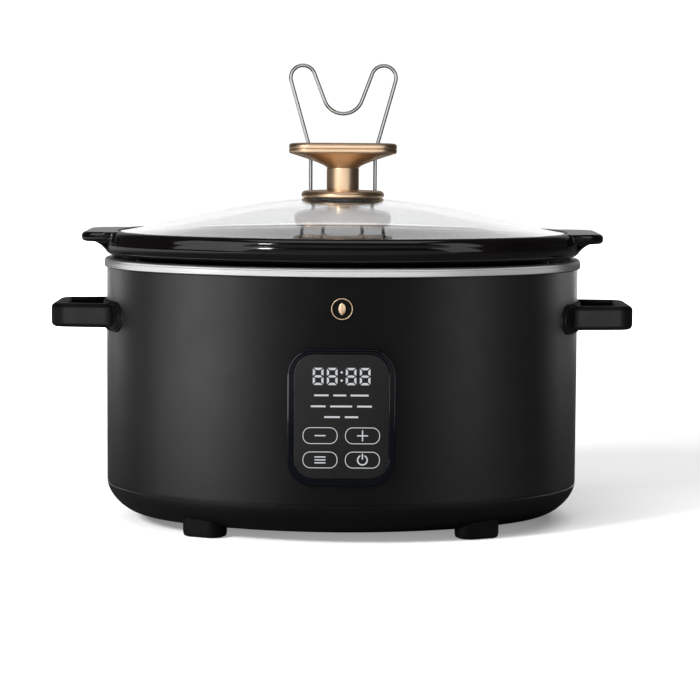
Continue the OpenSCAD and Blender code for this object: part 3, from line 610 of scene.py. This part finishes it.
def make_bezel():
    """Glossy ring: a rounded outer edge, a flat face and a rounded inner lip."""
    lo, hi = box_mm("control_bezel")
    face, rear = lo[1], hi[1]
    w, h, r = 74.0, 94.0, 18
    centre = (lo[2] + hi[2]) / 2
    lens_lo, lens_hi = box_mm("control_lens")
    lens_w, lens_h = lens_hi[0] - lens_lo[0], lens_hi[2] - lens_lo[2]
    up = (lens_lo[2] + lens_hi[2]) / 2 - centre
    levels = [(w, h, 0, r, rear), (w, h, 0, r, face + 1.5)]
    for a in (15, 30, 45, 60, 75, 90):
        back, inward = 1.5 * (1 - sin(radians(a))), 1.5 * (1 - cos(radians(a)))
        levels.append((w - 2 * inward, h - 2 * inward, 0, r - inward, face + back))
    lip = 0.5
    levels.append((lens_w + 2 * lip + 0.6, lens_h + 2 * lip + 0.6, up, 14.4 + lip, face))
    for a in (30, 60, 90):
        back, inward = lip * (1 - cos(radians(a))), lip * sin(radians(a))
        grow = lip - inward
        levels.append((lens_w + 2 * grow + 0.3, lens_h + 2 * grow + 0.3, up, 14.1 + grow, face + back))
    levels.append((lens_w + 0.3, lens_h + 0.3, up, 14.1, face + 2.4))
    levels.append((lens_w - 5, lens_h - 5, up, 11, face + 2.4))
    levels.append((lens_w - 5, lens_h - 5, up, 11, rear))
    piece = loft("panel_bezel", panel_rings(levels, centre), BEZEL, loop=True)
    settle(piece, "base", "panel_gloss", "control_bezel")


def make_lens():
    lo, hi = box_mm("control_lens")
    w, h = hi[0] - lo[0], hi[2] - lo[2]
    levels = [(w - 1, h - 1, 0, 13.4, hi[1]), (w, h, 0, 13.9, hi[1] - 0.3), (w, h, 0, 13.9, lo[1] + 0.35),
              (w - 0.2, h - 0.2, 0, 13.8, lo[1] + 0.1), (w - 0.7, h - 0.7, 0, 13.55, lo[1])]
    piece = loft("panel_lens", panel_rings(levels, (lo[2] + hi[2]) / 2), LENS)
    settle(piece, "base", "panel_gloss", "control_lens")


def make_emblem():
    """A plain medallion: a rounded ring round a creased leaf."""
    lo, hi = box_mm("emblem")
    cz = (lo[2] + hi[2]) / 2
    back, front = hi[1], lo[1]
    outer, wire = (hi[0] - lo[0]) / 2, 0.8
    rings = []
    for i in range(96):
        a = 2 * pi * i / 96
        ring = []
        for u, v in round_rect(wire, back - front, 0.32, 5):
            r = outer - wire / 2 + u
            ring.append((r * cos(a), (back + front) / 2 + v, cz + r * sin(a)))
        rings.append(ring)
    ring_piece = loft("emblem_ring", rings, GOLD, loop=True)
    settle(ring_piece, "base", "gold_trim", "emblem")
    tall, bow, reach = 4.45, 5.4, 3.0
    half = []
    for k in range(25):
        z = tall - 2 * tall * k / 24
        half.append((sqrt(max(bow * bow - z * z, 0)) - reach, z))
    points, faces = [], []
    for x, z in half:
        x = max(x, 0.03)
        flank = [(-1, back), (-1, front + 0.35), (-0.55, front + 0.12), (-0.12, front)]
        crease = [(0, front + 0.18)]
        for share, y in flank + crease + [(-u, y) for u, y in reversed(flank)]:
            points.append((share * x, y, cz + z))
    size = len(points) // len(half)
    for k in range(24):
        for i in range(size):
            j = (i + 1) % size
            faces.append((k * size + i, k * size + j, (k + 1) * size + j, (k + 1) * size + i))
    faces += [tuple(range(size)), tuple(range(24 * size, 25 * size))]
    leaf = make("emblem_leaf", points, faces, GOLD)
    settle(leaf, "base", "gold_trim")


def make_gland():
    """The cord's gland at the back: a collar, a waist and a rounded mouth."""
    lo, hi = box_mm("cord_gland")
    cx, cz = (lo[0] + hi[0]) / 2, (lo[2] + hi[2]) / 2
    profile = rounded([(3.9, lo[1], 0.4), (10, lo[1], 0.4), (10, lo[1] + 3.6, 0.3), (8, lo[1] + 3.6, 0.2),
                       (8, hi[1] - 2.1, 0.1), (11, hi[1] - 2.1, 0.3), (11, hi[1], 0.9), (3.9, hi[1], 0.8)], 5)
    rings = [[(cx + r * x, y, cz + r * z) for r, y in profile] for x, z in circle(1, 96)]
    settle(loft("cord_collar", rings, INNER, loop=True), "base", "inner_plastic", "cord_gland")


# ---------------------------------------------------------------- crock

CROCK_LO, CROCK_HI = box_mm("stoneware_crock")
COLLAR = 2.2          # how far the collar stands past the shell's outline
TAB = {"tip": CROCK_HI[0], "half": 41.0, "corner": 14.0, "root": 50.0, "thick": 7.0}
GUSSET = {"x": 16.6, "z": 184.2, "r": 19.6, "half": 31.0, "blend": 9.0}


def smooth_step(x):
    """An even ramp from 0 to 1 with soft ends."""
    x = min(max(x, 0.0), 1.0)
    return x * x * (3 - 2 * x)


def tab_reach(t):
    """How far past the shell's outline the end tab stands, along the outline's normal at angle t."""
    corner_x, corner_y = TAB["tip"] - TAB["corner"], TAB["half"] - TAB["corner"]
    side_x = corner_x + TAB["corner"] * cos(radians(72))
    side_y = corner_y + TAB["corner"] * sin(radians(72))
    root_x = HALF_W - 25

    def inside(x, y):
        if x > TAB["tip"]:
            return False
        if x < side_x:
            width = TAB["root"] + (side_y - TAB["root"]) * (x - root_x) / (side_x - root_x)
        else:
            width = corner_y + sqrt(max(TAB["corner"] ** 2 - (x - corner_x) ** 2, 0))
        return y <= width

    px, py = oval_point(t)
    px, py, nx, ny = abs(px), abs(py), abs(cos(t)), abs(sin(t))
    if not inside(px, py):
        return 0.0
    low, high = 0.0, 60.0
    for _ in range(24):
        middle = (low + high) / 2
        if inside(px + nx * middle, py + ny * middle):
            low = middle
        else:
            high = middle
    return low


def mix(first, second, share):
    """An outline some share of the way from one to another with as many points."""
    return [tuple(p + (q - p) * share for p, q in zip(a, b)) for a, b in zip(first, second)]


def crock_section(t):
    """The crock's skin at one place: underside, wall, collar, tab, rim, ledge, throat, wall and floor."""
    rim, foot = CROCK_HI[2], CROCK_LO[2]
    wall, under, seat = -21.5, 43.5, 192.3
    ledge, floor, inner = 204.8, 52.5, -29.0
    below = rounded([(-47.5, under, 0), (-47.5, foot, 1.2), (-39.5, foot, 1.2), (-39.5, under + 0.2, 0)],
                    4, False)
    outer = arc(wall - 20, under + 20, 20, -82, 0, 14) + [(wall, 120), (wall, 186)]
    outer += arc(wall + 6, 186, 6, 170, 90, 8)

    reach = tab_reach(t)
    edge = (COLLAR + reach + sqrt((COLLAR - reach) ** 2 + 2.5 ** 2)) / 2 if reach > 0 else COLLAR + 0.3
    edge = max(edge, COLLAR)
    y = abs(oval_point(t, COLLAR)[1])
    at_an_end = abs(cos(t)) > 0.5
    gusset = 1 - smooth_step((y - GUSSET["half"]) / GUSSET["blend"]) if at_an_end else 0.0
    low_r = 8.0
    beneath = rim - TAB["thick"]
    nose = 3.0
    low = mix(arc(COLLAR - low_r, seat + low_r, low_r, -90, 0, 10),
              arc(COLLAR - low_r, seat + low_r, low_r, -90, -41, 10), gusset)
    fillet = 1.2
    end = edge - nose
    plain_tab = arc(COLLAR + fillet, beneath - fillet, fillet, 180, 90, 10)
    gusset_tab = arc(GUSSET["x"], GUSSET["z"], GUSSET["r"], 146.5, 107, 10)
    tab = (mix(plain_tab, [(min(x, end), z) for x, z in gusset_tab], gusset)
           + arc(max(end, COLLAR + fillet), beneath + nose, nose, -90, 0, 8))
    share = smooth_step((edge - COLLAR - 0.3) / 5.0)
    crown = 5.5 - (5.5 - nose) * share
    top_z = rim - crown
    lean = 1.1 * (1 - share)
    ups = [(k + 1) / len(tab) for k in range(len(tab))]
    plain = [(COLLAR - lean * up ** 2, seat + low_r + (top_z - seat - low_r) * up) for up in ups]
    collar = low + mix(plain, tab, share)
    lip = arc(COLLAR - lean + (edge - COLLAR) * share - crown, rim - crown, crown, 0, 90, 12)[1:]
    inside = rounded([(-4, rim, 0), (-7.6, rim, 1.0), (-8.4, ledge, 0.9), (-17, ledge, 0)], 5, False)
    throat = arc(-17, ledge - 12, 12, 90, 180, 12)[1:]
    bowl = [(inner, 120)] + arc(inner - 24, floor + 24, 24, 0, -90, 16)
    skin = below + outer + [(-8, seat)] + collar + lip + inside + throat + bowl
    return [(-70, under)] + skin + [(-70, floor)]


def make_crock():
    piece = turned_round_oval("crock_body", crock_section, GLAZE, FINE_ROUND, solid=True, sharp=50)
    settle(piece, "crock", "stoneware", "stoneware_crock")


# ---------------------------------------------------------------- lid and knob

def make_lid():
    """The dome as one closed skin with a hole for the knob's screw."""
    lo, hi = box_mm("lid_glass")
    thick, fall = 4.2, 1.35
    edge = lo[2] + thick
    rise = hi[2] - edge
    offset = hi[0] - HALF_W
    hole = 0.026
    spread_u = [hole] + [sin(pi / 2 * k / 40) for k in range(2, 38)] + [0.992]

    def dome(u):
        return edge + rise * (1 - u * u) ** fall

    profile = [(u, dome(u)) for u in spread_u]
    low = edge - thick
    profile += [(1 - 0.0035, edge - 0.25), (1 - 0.0012, edge - 0.75), (1.0, edge - 1.4), (1.0, low + 1.4),
                (1 - 0.0012, low + 0.7), (1 - 0.0045, low + 0.2), (0.985, low + 0.02)]
    profile += [(u, dome(u) - thick) for u in reversed(spread_u[:-1])]
    rings = []
    for t in stations(72, 96):
        x, y = oval_point(t, offset)
        rings.append([(x * u, y * u, z) for u, z in profile])
    piece = loft("lid_dome", rings, GLASS, loop=True, sharp=60)
    settle(piece, "lid", "lid_clear", "lid_glass")


def make_flange():
    """The round foot that the knob stands on, with a rolled edge and a gently sloped top."""
    lo, hi = box_mm("knob_flange")
    r, low, top = hi[0], lo[2], hi[2] - 0.9
    bore = 11.8
    profile = ([(bore, top + 0.95), (bore, low + 3.2), (r - 3.4, low + 3.2), (r - 2.7, low + 0.6)]
               + arc(r - 1.8, low + 1.8, 1.8, -115, 0, 8) + arc(r - 3.0, top - 3.0 + 0.1, 3.0, 12, 78, 8)
               + [(r - 6, top + 0.28), (r - 11, top + 0.5), (bore + 2.2, top + 0.72),
                  (bore + 0.8, top + 0.86)])
    rings = [[(reach * x, reach * y, z) for reach, z in profile] for x, y in circle(1, 128)]
    settle(loft("knob_foot", rings, GOLD, loop=True), "lid", "knob_gold", "knob_flange")


def outline_at(angle, w, d, r):
    """Distance from the middle to a rounded rectangle's edge, in one direction."""
    ux, uy = abs(cos(angle)), abs(sin(angle))
    flat = min(w / 2 / ux if ux > 1e-9 else 1e9, d / 2 / uy if uy > 1e-9 else 1e9)
    cx, cy = w / 2 - r, d / 2 - r
    along = ux * cx + uy * cy
    beside = cx * cx + cy * cy - r * r
    corner = along + sqrt(max(along * along - beside, 0))
    x, y = flat * ux, flat * uy
    return corner if x > cx and y > cy else flat


KNOB_TOP_LO, KNOB_TOP_HI = box_mm("knob_top")
KNOB = {"steps": 240, "w": 2 * KNOB_TOP_HI[0], "d": 2 * KNOB_TOP_HI[1], "r": 15.5}


def knob_ring(inset, z):
    """The knob plate's outline, drawn in by an inset, with as many points as the stem's circles."""
    w, d, r = KNOB["w"] - 2 * inset, KNOB["d"] - 2 * inset, KNOB["r"] - inset
    ring = []
    for x, y in circle(1, KNOB["steps"]):
        reach = outline_at(atan2(y, x), w, d, r)
        ring.append((reach * x, reach * y, z))
    return ring


def make_knob_body():
    """Round stem, a beaded neck and an underside that opens out to the plate."""
    lo, hi = box_mm("knob_body")
    stem_low, split = lo[2], hi[2]
    stem_r, neck, plate = 11.7, 255.8, 266.0
    screw_r, screw_depth = 2.6, 12
    steps = KNOB["steps"]
    turned = ((screw_r, stem_low + screw_depth), (screw_r, stem_low), (stem_r, stem_low),
              (stem_r, neck - 1.0), (stem_r - 0.25, neck - 0.6), (stem_r - 0.25, neck - 0.2),
              (stem_r + 0.1, neck + 0.1))
    rings = [[(x, y, z) for x, y in circle(r, steps)] for r, z in turned]
    start = circle(stem_r + 0.15, steps)
    stop = [point[:2] for point in knob_ring(0.9, plate)]
    for k in range(1, 17):
        share = k / 16
        height = neck + 0.3 + (plate - neck - 0.3) * share ** 0.8
        rings.append([(x, y, height) for x, y in mix(start, stop, share)])
    for inset, z in ((0.45, plate + 0.35), (0.15, plate + 0.9), (0.0, plate + 1.6), (0.0, split - 0.5),
                     (0.06, split - 0.2), (0.25, split)):
        rings.append(knob_ring(inset, z))
    settle(loft("knob_stem", rings, GOLD), "lid", "knob_gold", "knob_body")


def make_knob_top():
    """The crowned cap over the parting groove."""
    low, top = KNOB_TOP_LO[2], KNOB_TOP_HI[2]
    rings = [knob_ring(0.45, low), knob_ring(0.45, low + 0.2)]
    for inset, z in ((0.25, low + 0.28), (0.08, low + 0.5), (0.0, low + 0.9), (0.0, top - 1.9),
                     (0.15, top - 1.35), (0.6, top - 0.85), (1.3, top - 0.5), (2.6, top - 0.28),
                     (5.5, top - 0.1), (10.0, top - 0.02), (14.5, top)):
        rings.append(knob_ring(inset, z))
    settle(loft("knob_cap", rings, GOLD), "lid", "knob_gold", "knob_top")


# ---------------------------------------------------------------- wire rest

def turtle(steps, x, z, heading):
    """Middle line of bent wire in X and Z: each step is (length, 0) or (bend radius, turn in degrees)."""
    line = [(x, z, heading)]
    for size, turn in steps:
        if turn == 0:
            count = max(1, ceil(size / 3))
            for _ in range(count):
                x += size / count * cos(radians(heading))
                z += size / count * sin(radians(heading))
                line.append((x, z, heading))
            continue
        side = copysign(1, turn)
        cx = x - side * size * sin(radians(heading))
        cz = z + side * size * cos(radians(heading))
        count = max(2, ceil(abs(turn) / 5))
        for k in range(1, count + 1):
            a = heading + turn * k / count
            line.append((cx + side * size * sin(radians(a)), cz - side * size * cos(radians(a)), a))
        heading += turn
        x, z = line[-1][0], line[-1][1]
    return line


def make_wire():
    """One bent wire: two legs, two horns and the U between them, on two pivot pins."""
    lo, hi = box_mm("wire_rest")
    depth = (lo[1] + hi[1]) / 2
    wire = (hi[1] - lo[1]) / 2 - 0.03
    pin, pin_bend, pivot = wire - 0.15, 3.0, 235.9
    valley, u_r, u_turn, inner, horn_r, horn_turn, leg = 294.7, 14.65, 69.2, 21.34, 9.0, 174.9, 53.0
    splay = horn_turn - u_turn - 90
    upper = turtle([(u_r, u_turn), (inner, 0), (horn_r, -horn_turn), (leg, 0), (8, splay)], 0, valley, 0)
    x, z, _ = upper[-1]
    lower = turtle([(z - pivot - pin_bend, 0), (pin_bend, -90)], x, z, -90)
    half = [(a, b, h, wire) for a, b, h in upper + lower[1:]]
    end_x, end_z, end_h, _ = half[-1]
    for back, r in ((0.3, wire), (0.45, pin), (5.6, pin), (5.9, pin - 0.3)):
        half.append((end_x - back, end_z, end_h, r))
    line = [(-a, b, -h, r) for a, b, h, r in reversed(half[1:])] + half
    rings = []
    for a, b, h, r in line:
        across, up = -sin(radians(h)), cos(radians(h))
        rings.append([(a + u * across, depth + v, b + u * up) for u, v in circle(r, 28)])
    settle(loft("wire_loop", rings, CHROME, weighted=False), "wire", "wire_chrome", "wire_rest")


# ---------------------------------------------------------------- carried-over nodes

CARRIED = {
    "bottom_cover": COVER, "foot_screws": ZINC, "bottom_screws": ZINC, "handle_screws": ZINC,
    "knob_screw": ZINC, "knob_washer": ZINC, "heat_shield": WELL, "heating_band": HEATER,
    "insulation_wrap": FIBRE, "temperature_sensor": PALE, "display_module": PALE, "thermal_fuse": BRASS,
    "display_digits": PRINT, "touch_icons": PRINT, "control_board": BOARD, "power_board": BOARD,
    "touch_springs": BRASS, "board_standoffs": BRASS, "control_back_cover": INNER, "power_relay": RELAY,
    "terminal_block": RELAY, "filter_capacitor": CAPACITOR, "heater_leads": SLEEVE, "control_ribbon": RIBBON,
    "knob_gasket": SEAL_PAINTED_LIGHT, "rest_bracket": CHROME,
}


def dress_carried_nodes():
    for name, material in CARRIED.items():
        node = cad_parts[name]
        for place in node.material_slots:
            place.material = material


# ---------------------------------------------------------------- stage, light and camera

STUDIO = {"front": 0.03, "back": 0.30, "floor_front": 0.26, "floor_back": 0.07}
TARGET = Vector((0, 0, 0.13))
CAMERA = {"place": (0, -1.7545, 0.2908), "tilt": 5.467, "roll": 0.339, "lens": 124.1, "shift": 0.0117}


def summed(material, *values):
    """The sum of several sockets' values."""
    total = values[0]
    for value in values[1:]:
        node = add(material, "ShaderNodeMath", operation="ADD")
        link(material, total, node.inputs[0])
        link(material, value, node.inputs[1])
        total = node.outputs[0]
    return total


def shown_or_reflected(owner, shown, reflected):
    """One shader for the camera and for what glass shows, and another for reflections and fill light."""
    rays = add(owner, "ShaderNodeLightPath")
    direct = add(owner, "ShaderNodeMath", operation="MAXIMUM")
    link(owner, rays.outputs["Is Camera Ray"], direct.inputs[0])
    link(owner, rays.outputs["Is Transmission Ray"], direct.inputs[1])
    choose = add(owner, "ShaderNodeMixShader")
    link(owner, direct.outputs[0], choose.inputs["Fac"])
    link(owner, reflected.outputs[0], choose.inputs[1])
    link(owner, shown.outputs[0], choose.inputs[2])
    return choose.outputs[0]


def make_floor():
    """A pale floor that glows up to the backdrop's white away from the object. Reflections see it darker."""
    bpy.ops.mesh.primitive_circle_add(vertices=96, radius=4.0, fill_type="NGON", location=(0, 0.6, -0.0002))
    floor = bpy.context.object
    floor.name = "studio_floor"
    material = bpy.data.materials.new("floor_paper")
    material.use_nodes = True
    material.node_tree.nodes.clear()
    out = add(material, "ShaderNodeOutputMaterial")
    paper = add(material, "ShaderNodeBsdfDiffuse")
    paper.inputs["Color"].default_value = (0.9, 0.9, 0.9, 1)
    hidden = add(material, "ShaderNodeBsdfDiffuse")
    glow = add(material, "ShaderNodeEmission")
    far = add(material, "ShaderNodeTexCoord")
    length = add(material, "ShaderNodeVectorMath", operation="LENGTH")
    link(material, far.outputs["Object"], length.inputs[0])
    place = add(material, "ShaderNodeSeparateXYZ")
    link(material, far.outputs["Object"], place.inputs[0])
    x, y = place.outputs["X"], place.outputs["Y"]
    parts = ((length.outputs["Value"], 0.0, 1.0, 0.50, 1.10), (y, 0.9, 0.0, -0.92, -0.74),
             (x, 0.8, 0.0, -0.42, -0.16), (y, 0.0, 0.4, -0.12, 0.25))
    link(material, summed(material, *(spread(material, *part) for part in parts)), glow.inputs["Strength"])
    level = summed(material, spread(material, y, STUDIO["floor_front"], STUDIO["floor_back"], -1.9, -1.3),
                   spread(material, x, 0.4, 0.0, -1.0, -0.5))
    tone = add(material, "ShaderNodeCombineColor")
    for channel in ("Red", "Green", "Blue"):
        link(material, level, tone.inputs[channel])
    link(material, tone.outputs["Color"], hidden.inputs["Color"])
    bright = add(material, "ShaderNodeAddShader")
    link(material, paper.outputs[0], bright.inputs[0])
    link(material, glow.outputs[0], bright.inputs[1])
    link(material, shown_or_reflected(material, bright, hidden), out.inputs["Surface"])
    floor.data.materials.append(material)
    return floor


def make_world():
    """White where it is seen; what reflections see of it is dark in front and brighter behind."""
    world = bpy.data.worlds.new("studio")
    bpy.context.scene.world = world
    world.use_nodes = True
    world.node_tree.nodes.clear()
    out = add(world, "ShaderNodeOutputWorld")
    white = add(world, "ShaderNodeBackground", Color=(1, 1, 1, 1), Strength=1.05)
    dim = add(world, "ShaderNodeBackground", Color=(1, 1, 1, 1))
    place = add(world, "ShaderNodeTexCoord")
    parts = add(world, "ShaderNodeSeparateXYZ")
    link(world, place.outputs["Generated"], parts.inputs[0])
    fade = spread(world, parts.outputs["Y"], STUDIO["front"], STUDIO["back"], 0.6, 0.97,
                  interpolation_type="SMOOTHSTEP")
    link(world, fade, dim.inputs["Strength"])
    link(world, shown_or_reflected(world, white, dim), out.inputs["Surface"])


def softbox(name, azimuth, elevation, distance, size, watts, only=None, blockers=None):
    """An area light that faces the object. Azimuth 0 is in front and 90 to the right.

    It lights only some pieces, and only some block it, where those are given.
    """
    data = bpy.data.lights.new(name, "AREA")
    data.shape = "RECTANGLE"
    data.size, data.size_y = size
    data.energy = watts
    lamp = bpy.data.objects.new(name, data)
    bpy.context.scene.collection.objects.link(lamp)
    a, e = radians(azimuth), radians(elevation)
    away = Vector((sin(a) * cos(e), -cos(a) * cos(e), sin(e)))
    lamp.location = TARGET + away * distance
    lamp.rotation_euler = away.to_track_quat("Z", "Y").to_euler()
    lamp.visible_camera = False
    lamp.visible_transmission = False
    for pieces, role in ((only, "receiver_collection"), (blockers, "blocker_collection")):
        if pieces is not None:
            group = bpy.data.collections.new(name + "_" + role)
            for piece in pieces:
                group.objects.link(piece)
            setattr(lamp.light_linking, role, group)


def dressed_in(*materials):
    """Every mesh that wears one of the materials."""
    return [piece for piece in bpy.context.scene.objects
            if piece.type == "MESH" and any(place.material in materials for place in piece.material_slots)]


def make_lights(floor):
    """Each group of finishes has its own lights: black paint, glaze, glass and metal need different ones.

    Tall strips model the casing from all sides, and low ones its rounded base. The rest get broad walls.
    """
    casing = dressed_in(PAINT, BASE, RUBBER, BEZEL, LENS)
    glaze = dressed_in(GLAZE)
    rim = dressed_in(RIM)
    gold = dressed_in(GOLD)
    softbox("left_strip", -54, 22, 0.95, (0.46, 1.0), 5.6, casing)
    softbox("right_strip", 48, 22, 0.95, (0.24, 1.0), 1.9, casing)
    softbox("left_low", -56, -14, 0.8, (0.42, 0.26), 2.6, casing, casing)
    softbox("right_low", 48, -14, 0.8, (0.22, 0.26), 0.6, casing, casing)
    for name, azimuth, watts in (("left_side", -122, 3.6), ("right_side", 114, 3.6),
                                 ("left_back", -158, 6.5), ("right_back", 152, 4.5)):
        softbox(name, azimuth, 24, 0.95, (0.4, 1.0), watts, casing)
    softbox("handle_band", 0, -3, 1.3, (1.5, 0.16), 12.0, dressed_in(HANDLE))
    softbox("lens_glow", -17, 2, 0.9, (0.14, 0.4), 1.7, dressed_in(LENS))
    softbox("glaze_wall", 0, 8, 1.6, (3.2, 1.2), 2.6, glaze)
    softbox("glaze_left", -53, 30, 1.1, (0.58, 0.72), 1.4, glaze)
    softbox("glaze_right", 48, 30, 1.1, (0.25, 0.72), 0.5, glaze)
    softbox("glaze_glint", -33, 36, 1.6, (0.11, 0.15), 2.0, glaze)
    softbox("glass_sky", 180, 45, 3.0, (12, 6), 200, dressed_in(GLASS))
    softbox("metal_wall", -8, 10, 1.5, (4.0, 1.3), 19, dressed_in(RIM, GOLD, CHROME, ZINC, SEAL_PAINTED_LIGHT))
    softbox("metal_left", -84, 12, 1.5, (1.8, 1.3), 7.0, rim)
    softbox("metal_right", 78, 12, 1.5, (1.8, 1.3), 3.8, rim)
    softbox("metal_key", -34, 30, 1.4, (0.35, 0.5), 4.0, gold)
    softbox("metal_low", -20, -14, 1.2, (0.9, 0.3), 3.0, dressed_in(GOLD, SEAL_PAINTED_LIGHT), gold)
    softbox("overhead", 0, 80, 1.5, (1.2, 0.9), 3)
    softbox("floor_sky", 0, 89, 2.4, (4.5, 4.5), 104, [floor])
    softbox("floor_key", -49, 28, 1.9, (0.5, 0.5), 42, [floor])


def make_camera():
    """A long lens a little above the lid, tilted down slightly."""
    data = bpy.data.cameras.new("camera")
    camera = bpy.data.objects.new("camera", data)
    bpy.context.scene.collection.objects.link(camera)
    data.sensor_width = 36
    data.lens = CAMERA["lens"]
    data.shift_x = CAMERA["shift"]
    camera.matrix_world = (Matrix.Translation(CAMERA["place"])
                           @ Matrix.Rotation(pi / 2 - radians(CAMERA["tilt"]), 4, "X")
                           @ Matrix.Rotation(radians(CAMERA["roll"]), 4, "Z"))
    bpy.context.scene.camera = camera
    bpy.context.scene.view_settings.view_transform = "Standard"


make_camera()
make_shell()
make_rim()
make_base_ring()
make_well()
make_feet()
for side, sign in (("left", -1), ("right", 1)):
    make_handle(side, sign)
    make_wall_plate(side, sign)
make_bezel()
make_lens()
make_emblem()
make_gland()
make_crock()
make_lid()
make_flange()
make_knob_body()
make_knob_top()
make_wire()
dress_carried_nodes()
make_world()
make_lights(make_floor())
